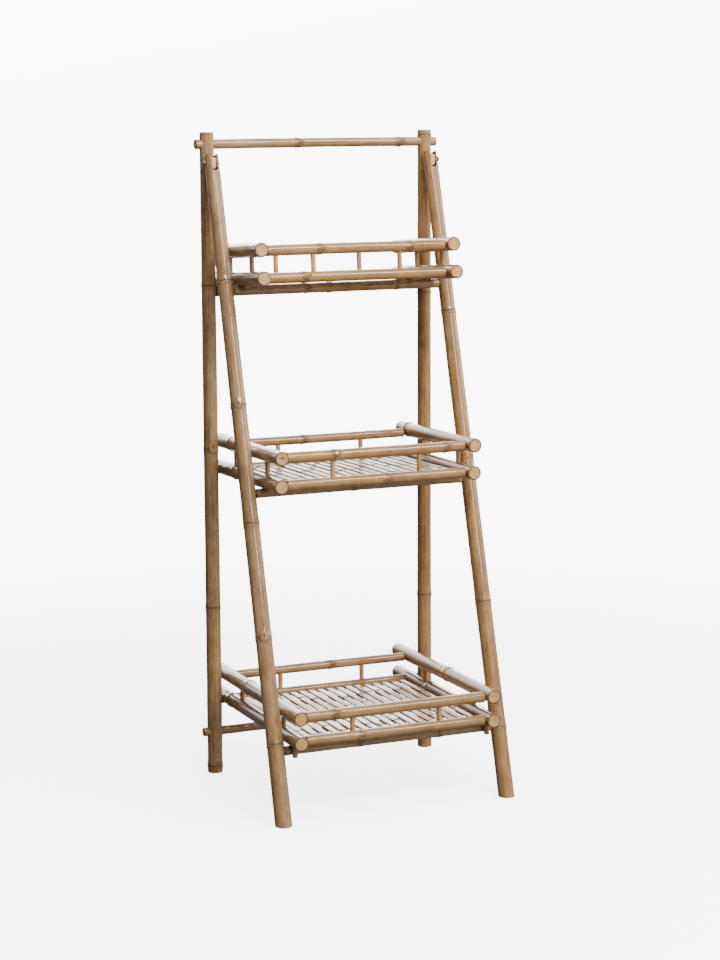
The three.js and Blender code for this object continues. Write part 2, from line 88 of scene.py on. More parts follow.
def add_camera():
    """Makes the camera that sees the stand as the photograph does."""
    data = bpy.data.cameras.new("photo_camera")
    data.sensor_width = SENSOR_SIZE
    data.lens = FOCAL_PIXELS * SENSOR_SIZE / IMAGE_HEIGHT
    data.shift_x = -(IMAGE_CENTRE[0] - IMAGE_WIDTH / 2) / IMAGE_HEIGHT
    data.shift_y = (IMAGE_CENTRE[1] - IMAGE_HEIGHT / 2) / IMAGE_HEIGHT
    data.clip_end = 100
    camera = in_scene("photo_camera", data)
    turn = Matrix.Rotation(-CAMERA_TURN, 4, "Z") @ Matrix.Rotation(math.pi / 2 - CAMERA_DIP, 4, "X")
    roll = Matrix.Rotation(CAMERA_ROLL, 4, "Z")
    camera.matrix_world = Matrix.Translation(CAMERA_PLACE) @ turn @ roll
    bpy.context.scene.camera = camera
    return camera


camera = add_camera()
print("camera lens", round(camera.data.lens, 1), "mm, shift", round(camera.data.shift_y, 4))

# %% [markdown]
# ## A short way to write node trees
#
# Both the shapes and the finishes below are node trees. Written out one link at a time they
# would hide their own idea, so this helper takes a node's inputs by name. An input may be a
# plain value or another node's output. The sums that come up most have short names, so that a
# formula reads much as it would on paper.


# %% Node tree helper
class Graph:
    """Adds nodes to one tree and wires them by the names of their sockets."""

    def __init__(self, tree):
        self.tree = tree

    def add(self, kind, inputs=None, **settings):
        """Adds a node, sets its settings and then feeds its inputs by name."""
        node = self.tree.nodes.new(kind)
        for name, value in settings.items():
            setattr(node, name, value)
        for name, value in (inputs or {}).items():
            self.feed(next(s for s in node.inputs if s.name == name and s.enabled), value)
        return node

    @staticmethod
    def result(node):
        """The output in use, where a node keeps one for each type of data."""
        return next(s for s in node.outputs if s.enabled)

    def feed(self, socket, value):
        """Links a node or an output to a socket, or sets the socket's own value."""
        if isinstance(value, bpy.types.Node):
            value = self.result(value)
        if isinstance(value, bpy.types.NodeSocket):
            self.tree.links.new(value, socket)
        else:
            socket.default_value = value

    def math(self, operation, *values, clamp=False):
        """Adds one math node. The methods after this one are its short forms."""
        node = self.tree.nodes.new("ShaderNodeMath")
        node.operation = operation
        node.use_clamp = clamp
        for socket, value in zip(node.inputs, values):
            self.feed(socket, value)
        return node.outputs[0]

    def plus(self, first, second, clamp=False):
        return self.math("ADD", first, second, clamp=clamp)

    def minus(self, first, second, clamp=False):
        return self.math("SUBTRACT", first, second, clamp=clamp)

    def times(self, first, second, clamp=False):
        return self.math("MULTIPLY", first, second, clamp=clamp)

    def over(self, first, second):
        return self.math("DIVIDE", first, second)

    def times_plus(self, first, second, added, clamp=False):
        return self.math("MULTIPLY_ADD", first, second, added, clamp=clamp)

    def larger(self, first, second):
        return self.math("MAXIMUM", first, second)

    def smaller(self, first, second):
        return self.math("MINIMUM", first, second)

    def size(self, value):
        return self.math("ABSOLUTE", value)

    def vector(self, operation, *values):
        """Adds one vector math node and returns its number or its vector."""
        node = self.tree.nodes.new("ShaderNodeVectorMath")
        node.operation = operation
        slots = (node.inputs[0], node.inputs["Scale"]) if operation == "SCALE" else node.inputs
        for socket, value in zip(slots, values):
            self.feed(socket, value)
        return node.outputs["Value" if operation in ("DOT_PRODUCT", "LENGTH") else "Vector"]

    def combine(self, x, y, z):
        return self.add("ShaderNodeCombineXYZ", {"X": x, "Y": y, "Z": z}).outputs[0]

    def separate(self, value):
        return self.add("ShaderNodeSeparateXYZ", {"Vector": value}).outputs

    def remap(self, value, from_low, from_high, to_low=0.0, to_high=1.0, smooth=False):
        """Takes a value from one range to another and holds it inside that range."""
        node = self.add("ShaderNodeMapRange", interpolation_type="SMOOTHSTEP" if smooth else "LINEAR")
        ends = (value, from_low, from_high, to_low, to_high)
        for socket, end in zip(node.inputs, ends):
            self.feed(socket, end)
        return node.outputs[0]


print("node helper ready")

# %% [markdown]
# ## One rule for every cane
#
# A cane is a long taper with a ring at each node, where a leaf sheath once sat. Just above the
# ring lies the scar of the sheath, and on one side a bud has left a small mark and a shallow
# groove that runs up the next length. A modelled tube would need all of this placed by hand.
# A rule does it better: a flat grid is rolled round the pole's axis, its rows are drawn
# together near each node, and the radius there follows one curve. The object's own points
# tell the tree where the nodes and the shoulders of the tenons are.

# %% Geometry tree helpers
SEAM = 0.002 * MM


def new_tree(name, inputs):
    """Makes an empty geometry tree with one geometry input, these inputs and one output."""
    tree = bpy.data.node_groups.new(name, "GeometryNodeTree")
    tree.interface.new_socket("Geometry", in_out="INPUT", socket_type="NodeSocketGeometry")
    for label, kind, value in inputs:
        socket = tree.interface.new_socket(label, in_out="INPUT", socket_type="NodeSocket" + kind)
        if value is not None:
            socket.default_value = value
    tree.interface.new_socket("Geometry", in_out="OUTPUT", socket_type="NodeSocketGeometry")
    graph = Graph(tree)
    given = graph.add("NodeGroupInput").outputs
    return tree, graph, {socket.name: socket for socket in given}


def unit_grid(graph, columns, rows):
    """A flat grid, one unit long and wide, whose points the tree then moves."""
    return graph.add("GeometryNodeMeshGrid", {"Size X": 1.0, "Size Y": 1.0,
                                              "Vertices X": columns, "Vertices Y": rows}).outputs["Mesh"]


def named(graph, name, kind="FLOAT"):
    """Reads a value that the points carry under this name."""
    return graph.result(graph.add("GeometryNodeInputNamedAttribute", {"Name": name}, data_type=kind))


def store(graph, mesh, name, value, kind="FLOAT", domain="POINT"):
    """Writes a value onto the points under this name."""
    return graph.add("GeometryNodeStoreNamedAttribute", {"Geometry": mesh, "Name": name, "Value": value},
                     data_type=kind, domain=domain).outputs[0]


def near_value(graph, value, centre, spread):
    """1 where value is centre, falling smoothly to 0 a few spreads away."""
    off = graph.over(graph.minus(value, centre), spread)
    return graph.math("EXPONENT", graph.times(graph.times(off, off), -1.0))


def capped_rows(graph, share, length, cap):
    """Shares a grid's rows out over the length and, beyond both its ends, over caps cap deep."""
    unrolled = graph.minus(graph.times(share, graph.times_plus(cap, 2.0, length)), cap)
    along = graph.smaller(graph.larger(unrolled, 0.0), length)
    beyond = graph.larger(graph.times(unrolled, -1.0), graph.minus(unrolled, length))
    return along, graph.larger(beyond, 0.0)


def gathered_rows(graph, along, offset, reach):
    """Draws the rows together near a node, so that its small forms get enough of them."""
    gathered = graph.times(offset, graph.smaller(graph.over(graph.size(offset), reach), 1.0))
    return graph.plus(along, graph.minus(gathered, offset)), gathered


def end_tree(graph, shape, finishes):
    """Merges the seams, smooths the shading and sets each finish on the faces chosen for it."""
    closed = graph.add("GeometryNodeMergeByDistance", {"Geometry": shape, "Distance": SEAM})
    smooth = graph.add("GeometryNodeSetShadeSmooth", {"Geometry": closed})
    shape = graph.add("GeometryNodeRealizeInstances", {"Geometry": smooth})
    for chosen, material in finishes:
        shape = graph.add("GeometryNodeSetMaterial", {"Geometry": shape, "Selection": chosen,
                                                      "Material": material})
    graph.add("NodeGroupOutput", {"Geometry": shape})


print("geometry helpers ready")

# %% [markdown]
# ## The ring and the bud of a cane node
#
# The tree looks up the nearest node of the cane and works out how far past it a point lies.
# One curve of that distance gives the ring and the sheath scar. The bud is a distance too,
# measured up the cane and round it, which swells into a low disc with a lip and a dimple.

# %% Cane node
GATHER = 12 * MM
RING_PROFILE = [
    (0.0, 0.0), (0.22, 0.08), (0.36, 0.38), (0.45, 0.86), (0.487, 1.0), (0.502, 0.30),
    (0.515, 0.26), (0.56, 0.50), (0.64, 0.58), (0.76, 0.26), (0.88, 0.05), (1.0, 0.0),
]
SMALLEST_BUD = 1 * MM
NO_BUD_NEAR = 9.0
GROOVE_LENGTH = 45 * MM


def profile_curve(graph, value, points):
    """A smooth curve through points (place from 0 to 1, height)."""
    node = graph.add("ShaderNodeFloatCurve", {"Value": value})
    curve = node.mapping.curves[0]
    curve.points[0].location = points[0]
    curve.points[1].location = points[-1]
    for point in points[1:-1]:
        curve.points.new(*point)
    node.mapping.update()
    return node.outputs[0]


def guide_value(graph, guides, index, value, kind="FLOAT"):
    """Reads a value at one of the guide points."""
    return graph.result(graph.add("GeometryNodeSampleIndex", {
        "Geometry": guides, "Value": value, "Index": index}, data_type=kind, domain="POINT"))


def nearest_guide(graph, guides, start, direction, along):
    """Finds the guide point nearest to a place on the axis, and how far past it the place lies."""
    on_axis = graph.vector("ADD", start, graph.vector("SCALE", direction, along))
    nearest = graph.add("GeometryNodeSampleNearest", {"Geometry": guides, "Sample Position": on_axis})
    position = graph.add("GeometryNodeInputPosition")
    centre = guide_value(graph, guides, nearest, position, "FLOAT_VECTOR")
    offset = graph.vector("DOT_PRODUCT", graph.vector("SUBTRACT", on_axis, centre), direction)
    return nearest, offset


def nearest_ring(g, guides, start, direction, along):
    """Reads the nearest cane node: whether the cane has one, how far past it, and its bud."""
    is_ring = g.math("GREATER_THAN", named(g, "cane_node"), 0.5)
    rings = g.add("GeometryNodeSeparateGeometry", {"Geometry": guides, "Selection": is_ring})
    rings = rings.outputs["Selection"]
    counted = g.add("GeometryNodeAttributeDomainSize", {"Geometry": rings}, component="MESH")
    present = g.smaller(counted.outputs["Point Count"], 1.0)
    nearest, past = nearest_guide(g, rings, start, direction, along)
    bud_turn = guide_value(g, rings, nearest, named(g, "bud_turn"))
    bud_size = guide_value(g, rings, nearest, named(g, "bud_size"))
    has_bud = g.times(g.math("GREATER_THAN", bud_size, 0.0), present)
    return {"present": present, "past": past, "bud_turn": bud_turn, "has_bud": has_bud,
            "bud_size": g.larger(bud_size, SMALLEST_BUD)}


def bud_scar(g, ring, away, radius):
    """The bud's swelling, lip and dimple, and how far from it a point lies in bud sizes."""
    size = ring["bud_size"]
    high = g.over(g.minus(ring["past"], g.times(size, 0.4)), size)
    wide = g.over(g.times(away, radius), g.times(size, 0.74))
    from_bud = g.math("SQRT", g.plus(g.times(high, high), g.times(wide, wide)))
    from_bud = g.plus(from_bud, g.times(g.minus(1.0, ring["has_bud"]), NO_BUD_NEAR))
    swell = g.times(g.remap(from_bud, 1.25, 0.75, smooth=True), 0.7 * MM)
    dimple = g.times(g.remap(from_bud, 0.36, 0.12, smooth=True), 1.3 * MM)
    lip = g.times(near_value(g, from_bud, 0.95, 0.16), 0.35 * MM)
    return g.minus(g.plus(swell, lip), dimple), from_bud


def node_relief(g, given, ring, turn, radius):
    """How far the skin stands out or in near a node, and the distance from its bud."""
    past = ring["past"]
    place = g.times_plus(past, 0.5 / GATHER, 0.5, clamp=True)
    collar = g.times(profile_curve(g, place, RING_PROFILE), given["Ridge"])
    away = g.math("ARCCOSINE", g.math("COSINE", g.minus(turn, ring["bud_turn"])))
    scar, from_bud = bud_scar(g, ring, away, radius)
    groove_side = g.math("EXPONENT", g.times(g.times(away, away), -3.4))
    groove_run = g.times(g.remap(past, 7 * MM, 14 * MM, smooth=True),
                         g.math("EXPONENT", g.over(past, -GROOVE_LENGTH)))
    groove = g.times(g.times(groove_side, groove_run), given["Groove"])
    relief = g.minus(g.plus(collar, scar), g.times(groove, ring["has_bud"]))
    return g.times(relief, ring["present"]), from_bud


print("a ring takes", len(RING_PROFILE), "points over", round(2 * GATHER / MM), "mm")

# %% [markdown]
# ## The tree of a whole cane
#
# The rows run from one end to the other and on over both ends as flat caps. The skin gets a
# slight unevenness, the edges a chamfer, and a rail that enters a post steps down to its tenon.
# While the cane still stands straight on the z axis, the tree stores what the finishes need:
# the grain's own coordinates and the distances from node, bud and edge.

# %% Cane tree
SKIN_CHAMFER = 0.5 * MM
PITH_DEPTH = 5 * MM
UNEVENNESS = 0.9 * MM
STEEP = 0.5

CANE_INPUTS = [
    ("Start", "Vector", (0, 0, 0)),
    ("End", "Vector", (0, 0, 1)),
    ("Start Radius", "Float", 12 * MM),
    ("End Radius", "Float", 12 * MM),
    ("Ridge", "Float", 1.3 * MM),
    ("Groove", "Float", 0.9 * MM),
    ("Tenon Radius", "Float", 5 * MM),
    ("Tenon Length", "Float", 0.0),
    ("Pith Radius", "Float", 0.0),
    ("Bow", "Float", 0.8 * MM),
    ("Rows", "Int", 300),
    ("Sides", "Int", 32),
    ("Seed", "Float", 0.0),
    ("Tone", "Float", 0.5),
    ("Skin", "Material", None),
    ("Cut End", "Material", None),
]


def uneven_skin(g, turn, along, seed):
    """A slow wander of the radius, up to half the unevenness either way."""
    point = g.combine(g.math("COSINE", turn), g.math("SINE", turn),
                      g.times_plus(along, 14.0, g.times(seed, 3.7)))
    noise = g.add("ShaderNodeTexNoise", {"Vector": point, "Scale": 0.9, "Detail": 2.0})
    return g.times(g.minus(noise.outputs[0], 0.5), UNEVENNESS)


def round_the_axis(g, turn, reach, along):
    """The point that lies this far from the z axis, at this turn."""
    return g.combine(g.times(g.math("COSINE", turn), reach), g.times(g.math("SINE", turn), reach), along)


def level_foot(g, placed, direction):
    """Lifts what lies below the ground back up along a steep pole, so its foot is level."""
    below = g.smaller(g.separate(g.add("GeometryNodeInputPosition"))["Z"], 0.0)
    slope = g.separate(direction)["Z"]
    lift = g.times(g.over(below, slope), g.math("GREATER_THAN", g.size(slope), STEEP))
    offset = g.vector("SCALE", direction, g.times(lift, -1.0))
    return g.add("GeometryNodeSetPosition", {"Geometry": placed, "Offset": offset})


def cane_tree():
    """Rolls a grid round the line from Start to End and gives it the form of a cane."""
    tree, g, given = new_tree("cane_pole", CANE_INPUTS)
    start, seed, cap = given["Start"], given["Seed"], given["Start Radius"]
    flat = g.separate(g.add("GeometryNodeInputPosition"))
    turn = g.times(g.plus(flat["X"], 0.5), math.tau)
    line = g.vector("SUBTRACT", given["End"], start)
    length = g.vector("LENGTH", line)
    direction = g.vector("NORMALIZE", line)
    along, inward = capped_rows(g, g.plus(flat["Y"], 0.5), length, cap)

    # Every guide gathers the rows. Those that are no cane nodes are ends and shoulders
    guides = given["Geometry"]
    nearest, offset = nearest_guide(g, guides, start, direction, along)
    at_edge = g.minus(1.0, guide_value(g, guides, nearest, named(g, "cane_node")))
    along, gathered = gathered_rows(g, along, offset, GATHER)
    from_guide = g.size(gathered)

    # Taper, node, uneven skin, chamfer and tenon
    ring = nearest_ring(g, guides, start, direction, along)
    taper = g.remap(along, 0.0, length, given["Start Radius"], given["End Radius"])
    relief, from_bud = node_relief(g, given, ring, turn, taper)
    radius = g.plus(g.plus(taper, relief), uneven_skin(g, turn, along, seed))
    near_edge = g.minus(1.0, g.over(from_guide, SKIN_CHAMFER), clamp=True)
    chamfer = g.times(g.math("POWER", near_edge, 1.6), g.times(at_edge, SKIN_CHAMFER))
    radius = g.minus(radius, chamfer)
    end_distance = g.smaller(along, g.minus(length, along))
    in_tenon = g.math("LESS_THAN", end_distance, g.minus(given["Tenon Length"], 0.01 * MM))
    radius = g.result(g.add("ShaderNodeMix", {"Factor": in_tenon, "A": radius,
                                              "B": given["Tenon Radius"]}, data_type="FLOAT"))

    # Flat ends, with a sunk pith where the cane has one
    radius = g.times(radius, g.minus(1.0, g.over(inward, cap), clamp=True))
    in_pith = g.times(g.math("LESS_THAN", radius, given["Pith Radius"]),
                      g.math("GREATER_THAN", inward, 0.0))
    facing = g.math("SIGN", g.minus(g.times(length, 0.5), along))
    along = g.times_plus(g.times(in_pith, PITH_DEPTH), facing, along)

    # Roll it up, bow it a little and store what the finishes read
    bow = g.times(g.math("SINE", g.times(g.over(along, length), math.pi)), given["Bow"])
    local = round_the_axis(g, turn, radius, along)
    bowed = g.vector("ADD", local, round_the_axis(g, seed, bow, 0.0))
    grain = g.vector("ADD", local, g.combine(0.0, 0.0, g.times(seed, 3.0)))
    mesh = unit_grid(g, g.plus(given["Sides"], 1), given["Rows"])
    mesh = store(g, mesh, "grain", grain, "FLOAT_VECTOR")
    mesh = store(g, mesh, "from_node", g.plus(ring["past"], g.minus(1.0, ring["present"])))
    mesh = store(g, mesh, "from_bud", from_bud)
    mesh = store(g, mesh, "bud_size", ring["bud_size"])
    mesh = store(g, mesh, "inward", inward)
    mesh = store(g, mesh, "from_edge", g.plus(from_guide, g.minus(1.0, at_edge)))
    mesh = store(g, mesh, "tone", given["Tone"])

    # Lay it along its own axis
    aligned = g.add("FunctionNodeAlignRotationToVector", {"Vector": direction}, axis="Z")
    laid = g.add("FunctionNodeRotateVector", {"Vector": bowed, "Rotation": aligned})
    final = g.vector("ADD", start, laid)
    placed = g.add("GeometryNodeSetPosition", {"Geometry": mesh, "Position": final})
    on_end = g.math("GREATER_THAN", named(g, "inward"), 0.2 * MM)
    end_tree(g, level_foot(g, placed, direction), [(True, given["Skin"]), (on_end, given["Cut End"])])
    return tree


CANE_TREE = cane_tree()
print("cane tree nodes", len(CANE_TREE.nodes))

# %% [markdown]
# ## The finish of lacquered cane
#
# Cane is a bundle of long fibres under a hard glossy skin. Lacquer deepens it to honey and
# brown, darker in blotches and along single fibres, and nearly black in the crease of each
# node. The finish reads the cane's own coordinates, which the tree stores while the pole is
# still straight, so that every streak runs along its pole. A tone between 0 and 1 lets one
# pole be greyer and its neighbour warmer.


# %% Finish helpers
def new_material(name):
    """Makes a material, and returns it with its graph and its shader."""
    material = bpy.data.materials.new(name)
    material.use_nodes = True
    graph = Graph(material.node_tree)
    shader = next(n for n in material.node_tree.nodes if n.type == "BSDF_PRINCIPLED")
    return material, graph, shader


def attribute(graph, name, output="Fac"):
    """Reads a value that the mesh carries under this name."""
    return graph.add("ShaderNodeAttribute", attribute_name=name).outputs[output]


def stretched_noise(graph, vector, scale, detail=4.0, roughness=0.55):
    """Noise on coordinates that are multiplied by scale (x, y, z), in cycles for a metre."""
    wide = graph.add("ShaderNodeMapping", {"Vector": vector, "Scale": scale})
    noise = graph.add("ShaderNodeTexNoise", {"Vector": wide.outputs[0], "Scale": 1.0,
                                             "Detail": detail, "Roughness": roughness})
    return noise.outputs["Fac"]


def varied(graph, base, noise, amount, clamp=False):
    """Moves base up or down by amount times the noise's distance from its mean of a half."""
    return graph.times_plus(graph.minus(noise, 0.5), amount, base, clamp=clamp)


def blend_colours(graph, share, first, second):
    """Mixes two colours: a share of 0 is the first and a share of 1 the second."""
    node = graph.add("ShaderNodeMix", data_type="RGBA")
    colour_inputs = [s for s in node.inputs if s.enabled and s.type == "RGBA"]
    graph.feed(next(s for s in node.inputs if s.enabled and s.name == "Factor"), share)
    for socket, colour in zip(colour_inputs, (first, second)):
        graph.feed(socket, colour)
    return graph.result(node)


def ramp(graph, value, stops):
    """Turns a value into a colour by stops of (value, colour)."""
    node = graph.add("ShaderNodeValToRGB", {"Fac": value})
    elements = node.color_ramp.elements
    elements[0].position, elements[0].color = stops[0][0], (*stops[0][1], 1)
    elements[1].position, elements[1].color = stops[-1][0], (*stops[-1][1], 1)
    for position, colour in stops[1:-1]:
        elements.new(position).color = (*colour, 1)
    return node.outputs["Color"]


def dress(graph, shader, inputs, relief=None, depth=0.0, strength=0.5):
    """Feeds a shader by the names of its sockets, and adds a bump of this depth from a relief."""
    if relief is not None:
        bump = graph.add("ShaderNodeBump", {"Height": relief, "Distance": depth, "Strength": strength})
        inputs = dict(inputs, Normal=bump)
    for name, value in inputs.items():
        graph.feed(shader.inputs[name], value)


print("finish helpers ready")

# %% Cane skin
WARM_CANE = [(0.15, (0.090, 0.034, 0.009)), (0.38, (0.200, 0.092, 0.026)),
             (0.58, (0.310, 0.149, 0.036)), (0.85, (0.450, 0.240, 0.064))]
GREY_CANE = [(0.15, (0.066, 0.036, 0.017)), (0.38, (0.158, 0.095, 0.047)),
             (0.58, (0.256, 0.165, 0.087)), (0.85, (0.375, 0.264, 0.155))]
SCORCHED = (0.070, 0.030, 0.010, 1)
CREASE_BROWN = (0.050, 0.022, 0.008, 1)
HALO_BROWN = (0.140, 0.062, 0.020, 1)
PALE_BAND = (0.560, 0.380, 0.200, 1)
EDGE_BROWN = (0.070, 0.032, 0.012, 1)
RIM_BROWN = (0.075, 0.034, 0.012, 1)
INNER_BROWN = (0.110, 0.052, 0.018, 1)
HEART_BROWN = (0.040, 0.024, 0.014, 1)
LARGE_SCAR_WOOD = ((0.420, 0.240, 0.095, 1), (0.190, 0.098, 0.036, 1))
SMALL_SCAR_WOOD = ((0.270, 0.145, 0.055, 1), (0.085, 0.040, 0.014, 1))


def bud_colours(g, colour, flecks):
    """A trimmed branch leaves a pale disc with a dark rim, a dark ring and a dark heart."""
    ragged = varied(g, attribute(g, "from_bud"), flecks, 0.5)
    disc = g.remap(ragged, 1.02, 0.88, smooth=True)
    small = g.remap(attribute(g, "bud_size"), 10 * MM, 9 * MM)
    pale_wood = blend_colours(g, g.remap(flecks, 0.46, 0.60), *LARGE_SCAR_WOOD)
    dark_wood = blend_colours(g, g.remap(flecks, 0.42, 0.56), *SMALL_SCAR_WOOD)
    wood = blend_colours(g, small, pale_wood, dark_wood)
    colour = blend_colours(g, g.times(disc, 0.80), colour, wood)
    colour = blend_colours(g, g.times(near_value(g, ragged, 0.98, 0.11), 0.72), colour, RIM_BROWN)
    colour = blend_colours(g, g.times(near_value(g, ragged, 0.52, 0.14), 0.72), colour, INNER_BROWN)
    heart = g.times(g.remap(ragged, 0.36, 0.20, smooth=True), 0.92)
    return blend_colours(g, heart, colour, HEART_BROWN)


def cane_skin(name, gloss, coat_roughness, lighter=0.0):
    """Lacquered cane: fibres, bands and blotches set its depth, and the nodes are darker."""
    material, g, shader = new_material(name)
    grain = attribute(g, "grain", "Vector")
    fibres = stretched_noise(g, grain, (520, 520, 9), 6.0, 0.65)
    bands = stretched_noise(g, grain, (130, 130, 4), 3.0)
    blotches = stretched_noise(g, grain, (75, 75, 30), 5.0, 0.62)
    flecks = stretched_noise(g, grain, (1000, 1000, 420), 2.0)
    clouds = stretched_noise(g, grain, (22, 22, 15), 3.0, 0.6)

    depth = varied(g, 0.5, fibres, 0.75)
    depth = varied(g, depth, bands, 0.45)
    depth = varied(g, depth, blotches, 0.55, clamp=True)
    depth = g.plus(depth, lighter)
    colour = blend_colours(g, attribute(g, "tone"), ramp(g, depth, GREY_CANE), ramp(g, depth, WARM_CANE))
    colour = blend_colours(g, g.times(g.remap(clouds, 0.56, 0.72, smooth=True), 0.45), colour, SCORCHED)
    colour = blend_colours(g, g.remap(flecks, 0.66, 0.74, 0.0, 0.55), colour, SCORCHED)

    from_node = attribute(g, "from_node")
    crease = near_value(g, from_node, 0.5 * MM, 1.1 * MM)
    halo = g.times(near_value(g, from_node, 2.5 * MM, 5 * MM), 0.32)
    pale = g.times(near_value(g, from_node, -2.0 * MM, 1.3 * MM), 0.12)
    creased = g.times(crease, g.times_plus(blotches, 0.4, 0.60), clamp=True)
    colour = blend_colours(g, pale, colour, PALE_BAND)
    colour = blend_colours(g, halo, colour, HALO_BROWN)
    colour = blend_colours(g, creased, colour, CREASE_BROWN)
    colour = bud_colours(g, colour, flecks)
    # Near the cut ends the skin darkens to its own dark rim; at the tenon shoulders the same darkening
    # is painted shade where a cane meets the pole it enters.
    rim_and_joint_shade = g.remap(attribute(g, "from_edge"), 0.9 * MM, 2.6 * MM, 0.72, 0.0, smooth=True)

    rough = g.times_plus(blotches, 0.20, 0.32)
    dress(g, shader, {
        "Base Color": blend_colours(g, rim_and_joint_shade, colour, EDGE_BROWN),
        "Roughness": g.times_plus(crease, 0.3, rough), "Coat Weight": gloss,
        "Coat Roughness": coat_roughness, "Specular IOR Level": 0.15,
    }, relief=g.times_plus(fibres, 0.6, g.times(flecks, 0.25)), depth=0.10 * MM)
    return material


SKIN = cane_skin("lacquered_cane", 1.0, 0.11)
SATIN_SKIN = cane_skin("satin_cane", 0.45, 0.26, lighter=0.05)
print("finishes", SKIN.name, SATIN_SKIN.name)

# %% [markdown]
# ## Cut ends, split cane, dowels and steel
#
# A sawn end shows the fibres as dots, packed more darkly under the skin. They could be drawn
# one by one, but a cell pattern across the grain gives them in any number. The slats show the
# same fibres from the side, with a bright lacquer that has worn off in blotches. The dowels are
# plain pale wood, and the screws are dull, smeared steel.

# %% Cut ends of cane
END_WOOD = [(0.28, (0.28, 0.140, 0.042)), (0.50, (0.40, 0.222, 0.076)), (0.72, (0.52, 0.320, 0.130))]
BUNDLE_BROWN = (0.20, 0.092, 0.032, 1)
RIND_BROWN = (0.080, 0.036, 0.013, 1)


def cane_end():
    """End grain, with dots of fibre bundles and a dark rind under the skin."""
    material, g, shader = new_material("cut_cane_end")
    grain = attribute(g, "grain", "Vector")
    place = g.separate(grain)
    flat = g.combine(place["X"], place["Y"], 0.0)
    cells = g.add("ShaderNodeTexVoronoi", {"Vector": flat, "Scale": 820.0, "Randomness": 0.8})
    bundle = g.remap(cells.outputs["Distance"], 0.16, 0.36, 0.75, 0.0)
    colour = ramp(g, stretched_noise(g, grain, (160, 160, 1), 3.0), END_WOOD)
    colour = blend_colours(g, g.times(bundle, 0.45), colour, BUNDLE_BROWN)
    rind = g.remap(attribute(g, "inward"), 1.0 * MM, 3.2 * MM, 0.97, 0.0, smooth=True)
    dress(g, shader, {"Base Color": blend_colours(g, rind, colour, RIND_BROWN), "Roughness": 0.62},
          relief=bundle, depth=0.15 * MM)
    return material


CUT_END = cane_end()
print("finish", CUT_END.name)

# %% Split cane
SPLIT_WOOD = [(0.1, (0.17, 0.075, 0.022)), (0.45, (0.33, 0.182, 0.072)),
              (0.75, (0.47, 0.300, 0.145)), (1.0, (0.60, 0.430, 0.250))]
RIDGE_SHADOW_BROWN = (0.20, 0.095, 0.030, 1)
SAWN_AND_SHADE_BROWN = (0.085, 0.036, 0.011, 1)


def split_cane():
    """Split cane: glossy on the crown, dull where it is sawn, creased or worn. Its back ends and the
    sides of each node ridge carry painted shade.
    """
    material, g, shader = new_material("split_cane_strips")
    grain = attribute(g, "grain", "Vector")
    fibres = stretched_noise(g, grain, (620, 5, 620), 6.0, 0.6)
    blotches = stretched_noise(g, grain, (70, 16, 70), 4.0)
    depth = varied(g, attribute(g, "tone"), fibres, 0.9)
    depth = varied(g, depth, blotches, 0.9, clamp=True)
    from_node = attribute(g, "from_node")
    crease = near_value(g, from_node, -1.2 * MM, 2.6 * MM)
    halo = near_value(g, from_node, 1.5 * MM, 6.0 * MM)
    sawn_and_shade = attribute(g, "sawn_and_shade")
    colour = ramp(g, depth, SPLIT_WOOD)
    # The halo beside each node is painted shadow of the raised ridge, and the crease is the node's own
    # dark line widened with painted shade.
    colour = blend_colours(g, g.times(halo, 0.50), colour, RIDGE_SHADOW_BROWN)
    colour = blend_colours(g, g.times(crease, 0.95), colour, CREASE_BROWN)
    # The sawn sides get their own dark brown; the last few millimetres of each slat get the same brown
    # as painted shade where it meets the rear rail.
    colour = blend_colours(g, g.times(sawn_and_shade, 0.9), colour, SAWN_AND_SHADE_BROWN)
    worn = g.larger(sawn_and_shade, g.times(crease, 0.9))
    worn = g.plus(worn, g.remap(blotches, 0.52, 0.66, 0.0, 0.45), clamp=True)
    gloss = g.times(g.times_plus(worn, -0.72, 0.76), g.times_plus(crease, -0.9, 1.0))
    dress(g, shader, {
        "Base Color": colour, "Roughness": g.times_plus(worn, 0.3, 0.38), "Coat Weight": gloss,
        "Coat Roughness": 0.16, "Specular IOR Level": 0.2,
    }, relief=fibres, depth=0.12 * MM, strength=0.6)
    return material


SPLIT = split_cane()
print("finish", SPLIT.name)

# %% Dowels and steel
DOWEL_WOOD = [(0.1, (0.22, 0.105, 0.034)), (0.5, (0.40, 0.222, 0.086)), (0.9, (0.58, 0.370, 0.180))]
SMEARED_STEEL = [(0.3, (0.16, 0.145, 0.13)), (0.7, (0.40, 0.375, 0.345))]


def dowel():
    """Turned wood with long fibres and a thin coat of lacquer."""
    material, g, shader = new_material("turned_dowel")
    grain = attribute(g, "grain", "Vector")
    fibres = stretched_noise(g, grain, (700, 700, 14), 6.0, 0.6)
    cloud = stretched_noise(g, grain, (120, 120, 30), 3.0)
    depth = varied(g, attribute(g, "tone"), fibres, 0.8)
    depth = varied(g, depth, cloud, 0.6, clamp=True)
    dress(g, shader, {"Base Color": ramp(g, depth, DOWEL_WOOD), "Roughness": 0.42, "Coat Weight": 0.2,
                      "Coat Roughness": 0.25}, relief=fibres, depth=0.1 * MM)
    return material


def dull_steel():
    """Bare steel, smeared brighter and darker."""
    material, g, shader = new_material("dull_steel")
    place = g.add("ShaderNodeTexCoord").outputs["Object"]
    smear = stretched_noise(g, place, (400, 400, 400), 5.0)
    dress(g, shader, {"Base Color": ramp(g, smear, SMEARED_STEEL), "Metallic": 1.0,
                      "Roughness": g.times_plus(smear, 0.3, 0.28)})
    return material


DOWEL = dowel()
STEEL = dull_steel()
print("finishes", DOWEL.name, STEEL.name)

